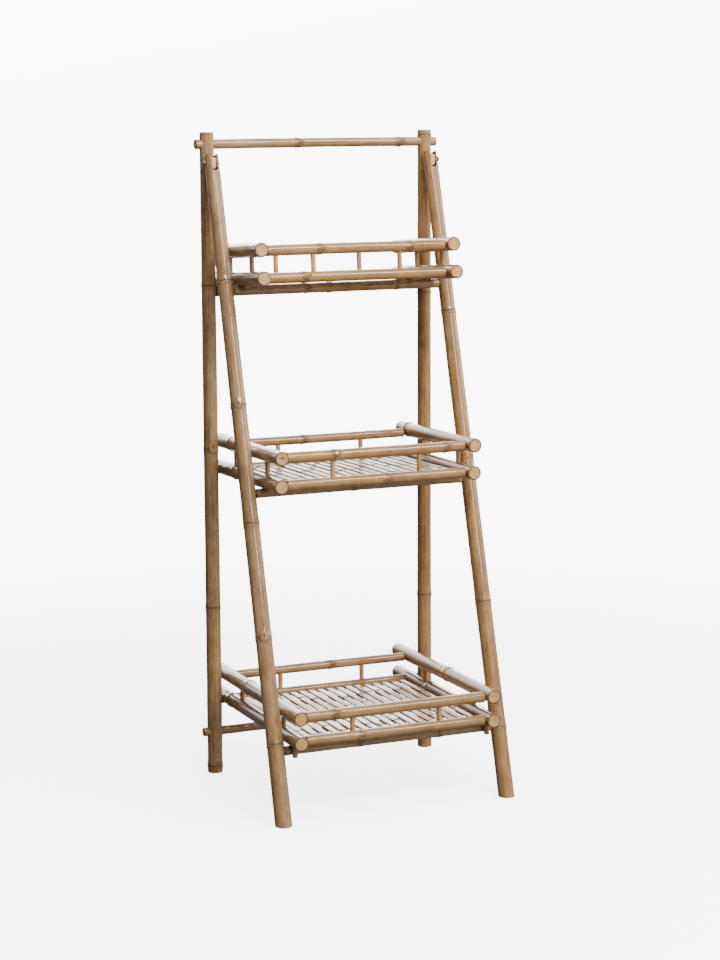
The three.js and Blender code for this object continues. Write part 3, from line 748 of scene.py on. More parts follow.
# %% [markdown]
# ## Finding each pole in the solids
#
# No size is repeated by hand. A pole's solid is a stack of rings, so its longest direction
# is its axis, and the rings at its two ends give the end centres exactly. Points that stand
# a little proud of the taper are its cane nodes, and a sudden step in thickness near an end
# is the shoulder of a tenon.

# %% Measure the solids
END_SLICE = 0.5 * MM
END_ZONE = 2 * MM
RING_GAP = 3 * MM
RING_HEIGHT = (0.7 * MM, 2 * MM)
BODY_RANGE = (0.8, 1.35)


def solid_points(node):
    """The corners of a solid, each one once."""
    mesh = frame["nodes"][node].data
    points = np.empty(len(mesh.vertices) * 3)
    mesh.vertices.foreach_get("co", points)
    return np.unique(points.reshape(-1, 3).round(7), axis=0)


def main_direction(points):
    """The direction in which the points spread out most."""
    middle = points.mean(axis=0)
    direction = np.linalg.svd(points - middle, full_matrices=False)[2][0]
    return direction * np.sign(direction[np.argmax(abs(direction))])


def from_axis(points, start, direction):
    """How far along an axis each point lies, and how far off it."""
    height = (points - start) @ direction
    return height, np.linalg.norm(points - start - np.outer(height, direction), axis=1)


def ring_places(height, reach, taper):
    """The heights of the cane nodes, whose points stand a little proud of the taper."""
    proud = (reach > taper + RING_HEIGHT[0]) & (reach < taper + RING_HEIGHT[1])
    rings = []
    for place in sorted(height[proud]):
        if not rings or place - rings[-1][-1] > RING_GAP:
            rings.append([])
        rings[-1].append(place)
    return [float(np.mean(ring)) for ring in rings]


def pole_facts(node, direction=None, radius=None):
    """Gives a pole's two end centres, its radii, its tenons and the places of its nodes."""
    points = solid_points(node)
    if direction is None:
        direction = main_direction(points)
    for _ in range(2):
        height = points @ direction
        low = points[height < height.min() + END_SLICE].mean(axis=0)
        high = points[height > height.max() - END_SLICE].mean(axis=0)
        direction = (high - low) / np.linalg.norm(high - low)
    height, reach = from_axis(points, low, direction)
    length = height.max()
    inner = (height > 0.2 * length) & (height < 0.8 * length)
    if radius is None:
        radius = np.percentile(reach[inner] if inner.any() else reach, 60)
    body = (reach > BODY_RANGE[0] * radius) & (reach < BODY_RANGE[1] * radius)
    first, last = height[body].min(), height[body].max()
    start_ring = reach[body & (height < first + END_ZONE)].max()
    end_ring = reach[body & (height > last - END_ZONE)].max()
    taper = start_ring + (end_ring - start_ring) * height / length
    tenon = first if first > END_ZONE else 0.0
    tenon_ring = reach[height < END_ZONE].max() if tenon else start_ring
    return {"low": Vector(low), "high": Vector(high), "radii": (float(start_ring), float(end_ring)),
            "tenon": (float(tenon_ring), float(tenon)),
            "nodes": ring_places(height[body], reach[body], taper[body])}


facts = pole_facts("rear_post_left")
print("left post", round((facts["high"] - facts["low"]).length, 4), "m, radii", facts["radii"])
print("its nodes at", [round(place, 3) for place in facts["nodes"]])

# %% [markdown]
# ## Growing one cane
#
# Each pole starts as a handful of points on its axis. The tree turns them into a cane, the
# result becomes a plain mesh, and that piece then stands for the solid it was measured from.


# %% Grow a cane
ROW_STEP = 1.9 * MM


def identifier(tree, name):
    """The key by which a modifier knows a tree's input, which isn't its name."""
    return next(item.identifier for item in tree.interface.items_tree if item.name == name)


def made_plain(piece, name):
    """Applies a piece's modifiers and returns the result as an object of its own."""
    bpy.context.view_layer.update()
    depsgraph = bpy.context.evaluated_depsgraph_get()
    mesh = bpy.data.meshes.new_from_object(piece.evaluated_get(depsgraph), depsgraph=depsgraph)
    plain = in_scene(name, mesh)
    bpy.data.objects.remove(piece)
    return plain


def with_tree(name, mesh, tree, values):
    """Runs a node tree on a mesh, with its inputs set by their labels."""
    piece = in_scene(name + "_guide", mesh)
    modifier = piece.modifiers.new("tree", "NODES")
    modifier.node_group = tree
    for label, value in values.items():
        modifier[identifier(tree, label)] = value
    return made_plain(piece, name)


def guide_mesh(facts, buds):
    """The points on a pole's axis that the tree gathers its rows around."""
    line = facts["high"] - facts["low"]
    length = line.length
    tenon = facts["tenon"][1]
    edges = [0.0, length] + ([tenon, length - tenon] if tenon else [])
    marks = [(place, 0.0, 0.0, 0.0) for place in edges]
    for i, place in enumerate(facts["nodes"]):
        turn, size = buds[i % len(buds)] if buds else (0.0, 0.0)
        marks.append((place, 1.0, turn, size))
    mesh = bpy.data.meshes.new("guide")
    mesh.from_pydata([facts["low"] + line * (mark[0] / length) for mark in marks], [], [])
    for i, label in enumerate(("cane_node", "bud_turn", "bud_size")):
        layer = mesh.attributes.new(label, "FLOAT", "POINT")
        layer.data.foreach_set("value", [mark[i + 1] for mark in marks])
    return mesh


def grow_cane(name, facts, tone, seed, skin=SKIN, end=CUT_END, ridge=1.3 * MM, groove=0.9 * MM,
              bow=0.7 * MM, sides=32, step=ROW_STEP, pith=0.0, buds=()):
    """Grows the cane that these facts describe, with one bud for each of its nodes in turn."""
    length = (facts["high"] - facts["low"]).length
    start, stop = facts["radii"]
    return with_tree(name, guide_mesh(facts, buds), CANE_TREE, {
        "Start": facts["low"], "End": facts["high"],
        "Start Radius": start, "End Radius": stop,
        "Ridge": ridge, "Groove": groove,
        "Tenon Radius": facts["tenon"][0], "Tenon Length": facts["tenon"][1],
        "Pith Radius": pith, "Bow": bow,
        "Rows": int((length + 2 * start) / step), "Sides": sides,
        "Seed": seed, "Tone": tone,
        "Skin": skin, "Cut End": end,
    })


def fuller(facts, at_low, at_high, pulled_in=0.0):
    """The same pole with a little more radius: the real canes are thicker than the solids."""
    line = (facts["high"] - facts["low"]).normalized()
    start, stop = facts["radii"]
    return dict(facts, radii=(start + at_low, stop + at_high),
                low=facts["low"] + line * pulled_in, high=facts["high"] - line * pulled_in)


def adopt(piece, body, *nodes, slot=None):
    """Gives a finished piece its body and the solids it stands for."""
    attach(piece, body)
    if nodes:
        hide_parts(*nodes)
    return piece


print("a cane gets a row every", ROW_STEP / MM, "mm")

# %% [markdown]
# ## Rear frame
#
# Two thick posts stand on cut feet. The top and bottom rails pass right through them and
# stick out a little, pinned by friction, and the shelf rail under the top tray is tenoned
# between them. The left post is toned greyer than the right one, and that grey is painted
# reflection of the dim room on its left side. Both posts have a duller lacquer than the rails.
# The shelf rail's light tone is painted light that lifts the shade the top tray casts on it.
# Each row below holds a cane's tone, its seed, its sides, what its radius gains over the
# solid's, and its buds.

# %% Rear frame
BARE = (0.0, 0.0)


def bud(turn, size):
    """A bud's turn round the pole, given in degrees, and its size, given in millimetres."""
    return (math.radians(turn), size * MM)


REAR_CANES = {
    # The left post's greyer tone is painted reflection of the dim room on its left side.
    "rear_post_left": (0.30, 1.0, 36, 0.9, [bud(-80, 7.5), BARE, bud(-86, 12.5), bud(60, 7), BARE]),
    "rear_post_right": (0.50, 2.3, 36, 0.5, [BARE, bud(20, 8), BARE, bud(-150, 7), BARE]),
    "rear_top_rail": (0.12, 3.1, 28, 0.5, [bud(-88, 8.5), bud(-100, 8.5)]),
    "rear_bottom_rail": (0.40, 4.4, 28, 0.0, [bud(-60, 7), bud(-120, 7)]),
    # The shelf rail's light tone is painted light, lifting the shade that the top tray casts on it.
    "rear_shelf_rail": (0.80, 5.2, 28, 0.0, [bud(-80, 7.5)]),
}
for node, (tone, seed, sides, gain, buds) in REAR_CANES.items():
    skin = SATIN_SKIN if "post" in node else SKIN
    facts = fuller(pole_facts(node), gain * MM, gain * MM)
    piece = grow_cane("cane_" + node, facts, tone, seed, skin=skin, sides=sides, buds=buds)
    adopt(piece, "rear_frame", node, slot="cane")
    print(piece.name, len(piece.data.polygons), "faces")

# %% [markdown]
# ## Front frame
#
# The two legs carry the hinges. The head of each leg is sawn into a fork that straddles a
# tongue let into the post, so the slot is cut out of the finished cane with a Boolean, with
# a round bottom as a drill and a saw leave it.

# %% Outlines, bars and cuts
PRISM_SEAM = 0.00001
NO_MARKS = {"from_node": 1.0, "from_bud": 9.0, "bud_size": 0.001, "inward": 1.0, "from_edge": 1.0}


def stadium(points_each, radius, straight=0.0):
    """A closed outline: two half circles joined by straight sides, long in the second axis."""
    outline = []
    for half in (0, 1):
        middle = -straight if half else straight
        for i in range(points_each + 1):
            turn = math.pi * half + math.pi * i / points_each
            outline.append((radius * math.cos(turn), middle + radius * math.sin(turn)))
    return outline


def closed_mesh(name, points, faces, seam, smooth):
    """A closed mesh whose doubles are merged and whose faces point outwards."""
    mesh = bpy.data.meshes.new(name)
    mesh.from_pydata(points, [], faces)
    bm = bmesh.new()
    bm.from_mesh(mesh)
    bmesh.ops.remove_doubles(bm, verts=bm.verts, dist=seam)
    bmesh.ops.recalc_face_normals(bm, faces=bm.faces)
    for face in bm.faces:
        face.smooth = smooth
    bm.to_mesh(mesh)
    bm.free()
    return mesh


def prism(name, outline, low, high, place):
    """A bar with this outline in its x-z plane, from low to high along its own y."""
    count = len(outline)
    points = [place @ Vector((x, y, z)) for y in (low, high) for x, z in outline]
    faces = [tuple(range(count)), tuple(range(2 * count - 1, count - 1, -1))]
    faces += [(i, i + count, (i + 1) % count + count, (i + 1) % count) for i in range(count)]
    return in_scene(name, closed_mesh(name, points, faces, PRISM_SEAM, smooth=False))


def own_grain(piece, tone):
    """Gives a hand-made piece the coordinates that the finishes read, its grain along y."""
    data = piece.data
    count = len(data.vertices)
    places = np.empty(count * 3)
    data.vertices.foreach_get("co", places)
    places = places.reshape(-1, 3)[:, [0, 2, 1]]
    data.attributes.new("grain", "FLOAT_VECTOR", "POINT").data.foreach_set("vector", places.ravel())
    for label, value in {"tone": tone, **NO_MARKS}.items():
        data.attributes.new(label, "FLOAT", "POINT").data.foreach_set("value", [value] * count)
    return piece


def cut_away(piece, cutter):
    """Cuts the cutter's shape out of a piece, which keeps its name."""
    cut = piece.modifiers.new("cut", "BOOLEAN")
    cut.operation = "DIFFERENCE"
    cut.solver = "EXACT"
    cut.object = cutter
    name = piece.name
    result = made_plain(piece, name + "_cut")
    bpy.data.objects.remove(cutter)
    result.name = name
    return result


print("a stadium of 12 points a side has", len(stadium(12, 1.0)), "points")

# %% Legs
SLOT_WIDTH = 12.6 * MM
SLOT_DEPTH = 17 * MM
SLOT_RISE = 30 * MM
SLOT_REACH = 40 * MM
SPARE_FOOT = 8 * MM
LEG_RADIUS = 13.5 * MM
LEG_LIFT = Vector((0, 0.9 * MM, 0))
RIGHTWARDS = Vector((1, 0, 0))
hinge = Vector(joints["front_frame_fold"]["pos_m"])

# Tone, seed, gain of radius at the foot and buds of each leg
LEGS = {
    # The left leg's greyer tone is painted reflection of the dim room on its left side.
    "left": (0.38, 6.6, 0.8, [BARE, bud(-103, 10.5), BARE, bud(-113, 9.5), BARE]),
    "right": (0.66, 7.9, 0.5, [BARE, BARE, bud(30, 7), BARE]),
}


def leg_facts_of(node):
    """A leg is cut level at the foot, so its axis runs from the middle of that cut to the hinge."""
    points = solid_points(node)
    cut = points[points[:, 2] < 0.1 * MM]
    x = (cut[:, 0].min() + cut[:, 0].max()) / 2
    foot = Vector((x, (cut[:, 1].min() + cut[:, 1].max()) / 2, 0.0))
    line = (Vector((x, hinge.y, hinge.z)) - foot).normalized()
    facts = pole_facts(node, np.array(line), LEG_RADIUS)
    height, reach = from_axis(points, np.array(foot), np.array(line))
    length = float(height.max())
    foot_radius = float((cut[:, 0].max() - cut[:, 0].min()) / 2)
    top_radius = float(reach[height > length - 12 * MM].max())
    taper = foot_radius + (top_radius - foot_radius) * height / length
    rings = ring_places(height, reach, taper)
    return dict(facts, low=foot - line * SPARE_FOOT, high=foot + line * length,
                radii=(foot_radius, top_radius), tenon=(foot_radius, 0.0),
                nodes=[place + SPARE_FOOT for place in rings])


def fork_cutter(line, x):
    """The slot of a fork: a round bottom below the hinge and straight sides up past the head."""
    front = line.cross(RIGHTWARDS).normalized()
    turn = Matrix((RIGHTWARDS, -front, line)).transposed().to_4x4()
    half = SLOT_WIDTH / 2
    outline = [(px, pz + half - SLOT_DEPTH) for px, pz in stadium(12, half)[13:]]
    outline += [(half, SLOT_RISE), (-half, SLOT_RISE)]
    place = Matrix.Translation((x, hinge.y, hinge.z)) @ turn
    cutter = prism("slot", outline, -SLOT_REACH, SLOT_REACH, place)
    cutter.data.materials.append(CUT_END)
    return own_grain(cutter, 0.5)


for side, (tone, seed, gain, buds) in LEGS.items():
    node = "front_leg_" + side
    facts = leg_facts_of(node)
    line = (facts["high"] - facts["low"]).normalized()
    facts = fuller(facts, gain * MM, 0.2 * MM)
    facts["low"] = facts["low"] + LEG_LIFT
    leg = grow_cane("cane_" + node, facts, tone, seed, sides=36, buds=buds)
    leg = cut_away(leg, fork_cutter(line, facts["high"].x))
    adopt(leg, "front_frame", node, slot="cane")
    print(leg.name, len(leg.data.polygons), "faces")

# %% [markdown]
# ## Rungs
#
# Three thinner canes are tenoned between the legs, and the trays rest on them. They hang in
# the shade of the trays.

# %% Rungs
RUNGS = {"top": (0.55, 8.3), "middle": (0.5, 9.1), "bottom": (0.42, 10.7)}
RUNG_BUDS = [bud(-95, 5.5), bud(-60, 5), bud(-110, 5)]
for name, (tone, seed) in RUNGS.items():
    node = "front_rung_" + name
    piece = grow_cane("cane_" + node, pole_facts(node), tone, seed, sides=28, buds=RUNG_BUDS)
    adopt(piece, "front_frame", node, slot="shaded_cane")
    print(piece.name, len(piece.data.polygons), "faces")

# %% [markdown]
# ## Tray canes
#
# Every tray is a low box of canes. Thick side rails run front to back with their cut ends
# showing, thinner rails are tenoned between them, and slim dowels hold the gallery up. The
# upper side rail and its two dowels are one solid, so the dowels are found as the points
# that stand far from the rail's axis.

# %% Tray helpers
TRAYS = {"top": "top_tray", "middle": "middle_tray", "bottom": "bottom_tray"}
TRAY_TONES = {
    "lower_side_rail_left": 0.42, "lower_side_rail_right": 0.60,
    "upper_side_rail_left": 0.45, "upper_side_rail_right": 0.66,
    "front_lower_rail": 0.72, "front_upper_rail": 0.74,
    "rear_upper_rail": 0.58, "rear_lower_rail": 0.50, "axle_rail": 0.45,
}
PITHY_RAIL = "middle_tray_upper_side_rail_left"
PITH_RADIUS = 2.4 * MM
BALUSTER_RADIUS = 4.5 * MM
PEG_RADIUS = 5 * MM
STEM_DROP = 20 * MM


def plain_dowel(name, low, high, radius, tone, seed):
    """A straight dowel without nodes, grown by the cane tree."""
    facts = {"low": low, "high": high, "radii": (radius, radius), "tenon": (radius, 0.0), "nodes": []}
    return grow_cane(name, facts, tone, seed, skin=DOWEL, end=DOWEL, bow=0.0, sides=16, step=2.4 * MM)


def joined_pieces(name, pieces):
    """Joins several pieces into one mesh."""
    with bpy.context.temp_override(active_object=pieces[0], selected_editable_objects=pieces,
                                   selected_objects=pieces):
        bpy.ops.object.join()
    pieces[0].name = name
    return pieces[0]


def tray_rail_facts(node, part, side_rail):
    """Measures a rail. The upper side rails lie as the lower ones do, so they use their axis."""
    if part.startswith("upper_side"):
        facts = pole_facts(node, *side_rail)
    else:
        facts = pole_facts(node)
    if part.startswith("lower_side"):
        direction = (facts["high"] - facts["low"]).normalized()
        side_rail = (np.array(direction), facts["radii"][0])
    if "side_rail" in part:
        facts = fuller(facts, 0.5 * MM, 0.5 * MM, 0.15 * MM)
    return facts, side_rail


def tray_rail(node, part, facts, tone, seed):
    """Grows one rail of a tray, with its buds turned a little differently on each."""
    thick = "side_rail" in part
    facing = -70 if thick else -96
    buds = [bud(facing + 25 * math.sin(seed * 7), 8.5), bud(facing + 30 * math.sin(seed * 11), 8)]
    return grow_cane("cane_" + node, facts, tone, seed, sides=32 if thick else 28, bow=0.4 * MM,
                     buds=buds, pith=PITH_RADIUS if node == PITHY_RAIL else 0.0)


def rail_stems(node, facts, seed):
    """The two dowels under an upper side rail, which its solid holds as well."""
    line = (facts["high"] - facts["low"]).normalized()
    up = line.cross(Vector((-1, 0, 0))).normalized()
    up = up if up.z > 0 else -up
    points = solid_points(node)
    height = (points - np.array(facts["low"])) @ np.array(line)
    drop = (points - np.array(facts["low"])) @ np.array(up)
    stems = drop < -STEM_DROP
    split = height[stems].mean()
    pieces = []
    for near_end in (True, False):
        chosen = stems & ((height < split) == near_end)
        lowest = drop[chosen].min()
        low = Vector(points[chosen & (drop < lowest + END_SLICE)].mean(axis=0))
        high = low + up * (-lowest - 0.4 * facts["radii"][0])
        tone = 0.36 + 0.1 * near_end
        pieces.append(plain_dowel("stem", low, high, BALUSTER_RADIUS, tone, seed + near_end))
    return pieces


def dowel_piece(node, body, radius, tone, seed):
    """Grows the dowel that stands for one solid."""
    facts = pole_facts(node)
    piece = plain_dowel("dowel_" + node, facts["low"], facts["high"], radius, tone, seed)
    return adopt(piece, body, node, slot="dowel")


print("a tray has up to", len(TRAY_TONES), "rails")

# %% Tray canes
seed = 20.0
for tray, body in TRAYS.items():
    side_rail = None
    for part, tone in TRAY_TONES.items():
        node = f"{tray}_tray_{part}"
        if node not in frame["nodes"]:
            continue
        seed += 1.37
        tone += 0.10 * math.sin(seed * 5.0)
        facts, side_rail = tray_rail_facts(node, part, side_rail)
        piece = tray_rail(node, part, facts, tone, seed)
        if part.startswith("upper_side"):
            piece = joined_pieces("cane_" + node, [piece] + rail_stems(node, facts, seed))
        adopt(piece, body, node, slot="cane")
    for row in ("front", "rear"):
        for side in ("left", "right"):
            seed += 0.91
            tone = 0.40 + 0.12 * math.sin(seed * 3)
            dowel_piece(f"{tray}_tray_{row}_baluster_{side}", body, BALUSTER_RADIUS, tone, seed)
    print(tray, "tray grown, seed now", round(seed, 2))
for side in ("left", "right"):
    dowel_piece("lock_peg_" + side, "bottom_tray", PEG_RADIUS, 0.4, seed)

# %% [markdown]
# ## Split cane slats
#
# The floor is a row of split canes, round side up, pinned over two round battens. Each slat
# differs a little: its width, how far it reaches back, where its node falls and how it lies.
# That is a rule with a random part, so a node tree lays out the slats along a line.

# %% Slat tree
SLAT_COUNT = 18
SLAT_PITCH = 18.9 * MM
SLAT_WIDTH = 16.2 * MM
SLAT_THICKNESS = 3.6 * MM
SLAT_RAGGED = 2.4 * MM
SLAT_GATHER = 9 * MM
SLAT_RING = 1.2 * MM
SLAT_SWAY = 2.2 * MM
SECTION_POINTS = 17

SLAT_INPUTS = [
    ("Count", "Int", SLAT_COUNT),
    ("Pitch", "Float", SLAT_PITCH),
    ("Width", "Float", SLAT_WIDTH),
    ("Thickness", "Float", SLAT_THICKNESS),
    ("Front", "Float", -0.25),
    ("Back", "Float", -0.02),
    ("Ragged", "Float", SLAT_RAGGED),
    ("Rows", "Int", 90),
    ("Seed", "Int", 1),
    ("Split Cane", "Material", None),
]


def slat_chance(g, given, number):
    """Returns a function that draws one random value for each slat, from its own stream."""
    def draw(stream, low, high):
        return g.result(g.add("FunctionNodeRandomValue", {
            "Min": low, "Max": high, "ID": number, "Seed": g.plus(given["Seed"], stream),
        }, data_type="FLOAT"))
    return draw


def slat_nodes(g, draw, along, length):
    """The offset from the nearer of a slat's two nodes, with the rows gathered around it."""
    first_node = g.times(length, draw(1, 0.04, 0.50))
    spacing = g.times(length, draw(5, 0.40, 0.48))
    near_first = g.minus(along, first_node)
    near_second = g.minus(near_first, spacing)
    second = g.math("LESS_THAN", g.size(near_second), g.size(near_first))
    offset = g.minus(near_first, g.times(spacing, second))
    return gathered_rows(g, along, offset, SLAT_GATHER)


def slat_tree():
    """Lays slats side by side along x, each running from Front to Back along y."""
    tree, g, given = new_tree("slat_floor", SLAT_INPUTS)
    offset = g.combine(given["Pitch"], 0.0, 0.0)
    places = g.add("GeometryNodeMeshLine", {"Count": given["Count"], "Offset": offset})
    blank = unit_grid(g, SECTION_POINTS, given["Rows"])
    laid = g.add("GeometryNodeInstanceOnPoints", {"Points": places, "Instance": blank})
    marked = store(g, laid, "slat", g.add("GeometryNodeInputIndex"), "FLOAT", "INSTANCE")
    mesh = g.add("GeometryNodeRealizeInstances", {"Geometry": marked})

    # Each point's own slat, its turn round the section and its place along the slat
    key = named(g, "slat")
    draw = slat_chance(g, given, g.add("FunctionNodeFloatToInt", {"Float": key}))
    column = g.times(key, given["Pitch"])
    here = g.separate(g.add("GeometryNodeInputPosition"))
    turn = g.times(g.plus(g.minus(here["X"], column), 0.5), math.tau)
    back = g.plus(given["Back"], g.times(given["Ragged"], draw(0, -1.0, 1.0)))
    length = g.minus(back, given["Front"])
    cap = g.times(given["Width"], 0.5)
    along, inward = capped_rows(g, g.plus(here["Y"], 0.5), length, cap)
    closing = g.minus(1.0, g.over(inward, cap), clamp=True)
    along, gathered = slat_nodes(g, draw, along, length)

    # The section: steep sawn sides, a crown, and a ridge with a crease at each node
    ring = near_value(g, gathered, 0.0, 1.9 * MM)
    crease = near_value(g, gathered, 0.0, 0.5 * MM)
    wide = g.times(given["Width"], draw(2, 0.86, 1.00))
    tall = g.times(given["Thickness"], draw(3, 0.72, 0.92))
    high = g.plus(tall, g.times(g.minus(ring, g.times(crease, 0.7)), SLAT_RING))
    lift = g.larger(g.math("SINE", turn), 0.0)
    wall = g.smaller(g.over(lift, 0.6), 1.0)
    height = g.times(g.times_plus(wall, 0.66, g.times(lift, 0.34)), high)
    side = g.math("COSINE", turn)
    # The slat's back end is darkened here as painted shade where it meets the rear rail, and stored
    # together with the sawn sides.
    painted_back_shade = g.remap(g.minus(length, along), 3 * MM, 7 * MM, 1.0, 0.0)
    sawn_and_shade = g.larger(g.remap(g.size(side), 0.58, 0.84), painted_back_shade)
    side = g.smaller(g.larger(g.times(side, 1.2), -1.0), 1.0)

    # Where the point goes, with a slow sway along the slat
    wander = g.add("ShaderNodeTexNoise", {"Vector": g.combine(key, g.times(along, 7.0), given["Seed"]),
                                          "Scale": 1.0, "Detail": 1.0})
    sway = g.times(g.minus(wander.outputs[0], 0.5), SLAT_SWAY)
    x = g.plus(column, g.times_plus(g.times(side, closing), g.times(wide, 0.5), sway))
    middle = g.times(tall, 0.45)
    z = g.plus(middle, g.times(g.minus(height, middle), closing))
    y = g.plus(given["Front"], along)

    mesh = store(g, mesh, "grain", g.combine(g.times_plus(key, 0.13, x), y, z), "FLOAT_VECTOR")
    mesh = store(g, mesh, "from_node", gathered)
    mesh = store(g, mesh, "sawn_and_shade", sawn_and_shade)
    mesh = store(g, mesh, "tone", draw(4, 0.36, 0.84))
    shaped = g.add("GeometryNodeSetPosition", {"Geometry": mesh, "Position": g.combine(x, y, z)})
    end_tree(g, shaped, [(True, given["Split Cane"])])
    return tree


SLAT_TREE = slat_tree()
print("slat tree nodes", len(SLAT_TREE.nodes))

# %% [markdown]
# ## Tray floors
#
# The trays slope a little, so a floor is laid out flat at the tray's joint and then turned
# with it. The slats run from the front to the back of the floor's solid, on a bed one slat's
# thickness under its top, and the two battens lie where the solid is lowest.

# %% Tray floors
BATTEN_RADIUS = 5 * MM
BATTEN_SINK = 4.4 * MM
SLAT_STEP = 3.2 * MM


def middle_of(values):
    """Half way between the lowest and the highest value."""
    return (values.min() + values.max()) / 2


def tray_floor(tray, number):
    """Lays the slats and the two battens of one tray, and says where the slats begin and end."""
    node = f"{tray}_tray_floor"
    rail = pole_facts(f"{tray}_tray_lower_side_rail_left")
    line = (rail["low"] - rail["high"]).normalized()
    line = line if line.y > 0 else -line
    up = RIGHTWARDS.cross(line).normalized()
    pivot = Vector(joints[f"{tray}_tray_fold"]["pos_m"])
    turn = Matrix((RIGHTWARDS, line, up)).transposed()
    points = (solid_points(node) - np.array(pivot)) @ np.array(turn)
    top = points[:, 2].max()
    bed = top - SLAT_THICKNESS
    slats = points[points[:, 2] > top - 2.5 * MM, 1]
    front, back = float(slats.min()), float(slats.max())
    guide = bpy.data.meshes.new("guide")
    guide.from_pydata([(0, 0, 0)], [], [])
    floor = with_tree("slats_" + node, guide, SLAT_TREE, {
        "Count": SLAT_COUNT, "Pitch": SLAT_PITCH, "Width": SLAT_WIDTH, "Thickness": SLAT_THICKNESS,
        "Front": front, "Back": back - SLAT_RAGGED, "Ragged": SLAT_RAGGED,
        "Rows": int((back - front) / SLAT_STEP) + 8, "Seed": 40 + number, "Split Cane": SPLIT,
    })
    shift = Matrix.Translation((-(SLAT_COUNT - 1) / 2 * SLAT_PITCH, 0, bed))
    floor.data.transform(Matrix.Translation(pivot) @ turn.to_4x4() @ shift)

    battens = points[points[:, 2] < bed - 2 * MM]
    split = middle_of(battens[:, 1])
    reach = points[:, 0].max()
    pieces = [floor]
    for near_front in (True, False):
        centre = middle_of(battens[(battens[:, 1] < split) == near_front, 1])
        low, high = (pivot + turn @ Vector((end, centre, bed - BATTEN_SINK)) for end in (-reach, reach))
        pieces.append(plain_dowel("batten", low, high, BATTEN_RADIUS, 0.45, 50 + number + near_front))
    return joined_pieces("slats_" + node, pieces), front, back


for number, (tray, body) in enumerate(TRAYS.items()):
    floor, front, back = tray_floor(tray, number)
    adopt(floor, body, f"{tray}_tray_floor", slot="split_cane")
    print(floor.name, len(floor.data.polygons), "faces, from", round(front, 4), "to", round(back, 4))

# %% [markdown]
# ## Hinge fittings
#
# A flat tongue with rounded edges is let into each post, and a slotted pan-head screw with a
# washer pins the fork to it from the outside. Turned parts are drawn as half a section, a list
# of (distance along the axis, radius), and spun round the axis. The box of each solid gives
# their place and their outer sizes.

# %% Turned and rounded parts
LATHE_SEAM = 0.000002
SHARP_ANGLE = 0.6


def rounded(piece, width, segments=3):
    """Rounds a piece's sharp edges."""
    bm = bmesh.new()
    bm.from_mesh(piece.data)
    sharp = [e for e in bm.edges if len(e.link_faces) == 2 and e.calc_face_angle() > SHARP_ANGLE]
    bmesh.ops.bevel(bm, geom=sharp, offset=width, segments=segments, affect="EDGES", profile=0.5)
    for face in bm.faces:
        face.smooth = True
    bm.to_mesh(piece.data)
    bm.free()
    return piece


def lathe(name, profile, start, direction, count=40):
    """Turns a profile of (distance along, radius) round a line."""
    along = direction.normalized()
    side = along.orthogonal().normalized()
    other = along.cross(side)
    points = []
    for distance, radius in profile:
        for i in range(count):
            turn = math.tau * i / count
            spoke = side * math.cos(turn) + other * math.sin(turn)
            points.append(start + along * distance + spoke * radius)
    faces = []
    for row in range(len(profile) - 1):
        near, far = row * count, (row + 1) * count
        for i in range(count):
            j = (i + 1) % count
            faces.append((near + i, near + j, far + j, far + i))
    return in_scene(name, closed_mesh(name, points, faces, LATHE_SEAM, smooth=True))


def fitting_box(node, sign):
    """A fitting's low and high corners, its centre, and the middle of its inner face."""
    low, high = (Vector(corner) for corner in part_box(node))
    centre = (low + high) / 2
    inner = Vector((low.x if sign > 0 else high.x, centre.y, centre.z))
    return low, high, centre, inner


print("hinge at", [round(value, 4) for value in hinge])

# %% Tongues, washers and screws
TONGUE_ROUNDING = 1.2 * MM
WASHER_HOLE = 2.7 * MM
SHANK_RADIUS = 2.4 * MM
HEAD_HEIGHT = 2.8 * MM
SLOT_LENGTH = 12 * MM
SLOT_GAP = 1.2 * MM
SLOT_TURN = math.radians(35)


def tongue(side, sign):
    """A flat bar with round top and bottom, let into the post."""
    low, high, centre, _ = fitting_box("hinge_tongue_" + side, sign)
    half = (high.x - low.x) / 2
    outline = stadium(12, half, (high.z - low.z) / 2 - half)
    place = Matrix.Translation((centre.x, 0, centre.z))
    piece = rounded(prism("tongue_" + side, outline, low.y, high.y, place), TONGUE_ROUNDING)
    piece.data.materials.append(DOWEL)
    return own_grain(piece, 0.75)


def washer(side, sign):
    """A flat ring with slightly rounded outer edges."""
    low, high, _, inner = fitting_box("hinge_washer_" + side, sign)
    radius = (high.z - low.z) / 2
    thick = high.x - low.x
    piece = lathe("washer_" + side, [
        (0, WASHER_HOLE), (0, radius - 0.15 * MM), (0.15 * MM, radius), (thick - 0.3 * MM, radius),
        (thick, radius - 0.3 * MM), (thick, WASHER_HOLE), (0, WASHER_HOLE),
    ], inner, Vector((sign, 0, 0)))
    piece.data.materials.append(STEEL)
    return piece


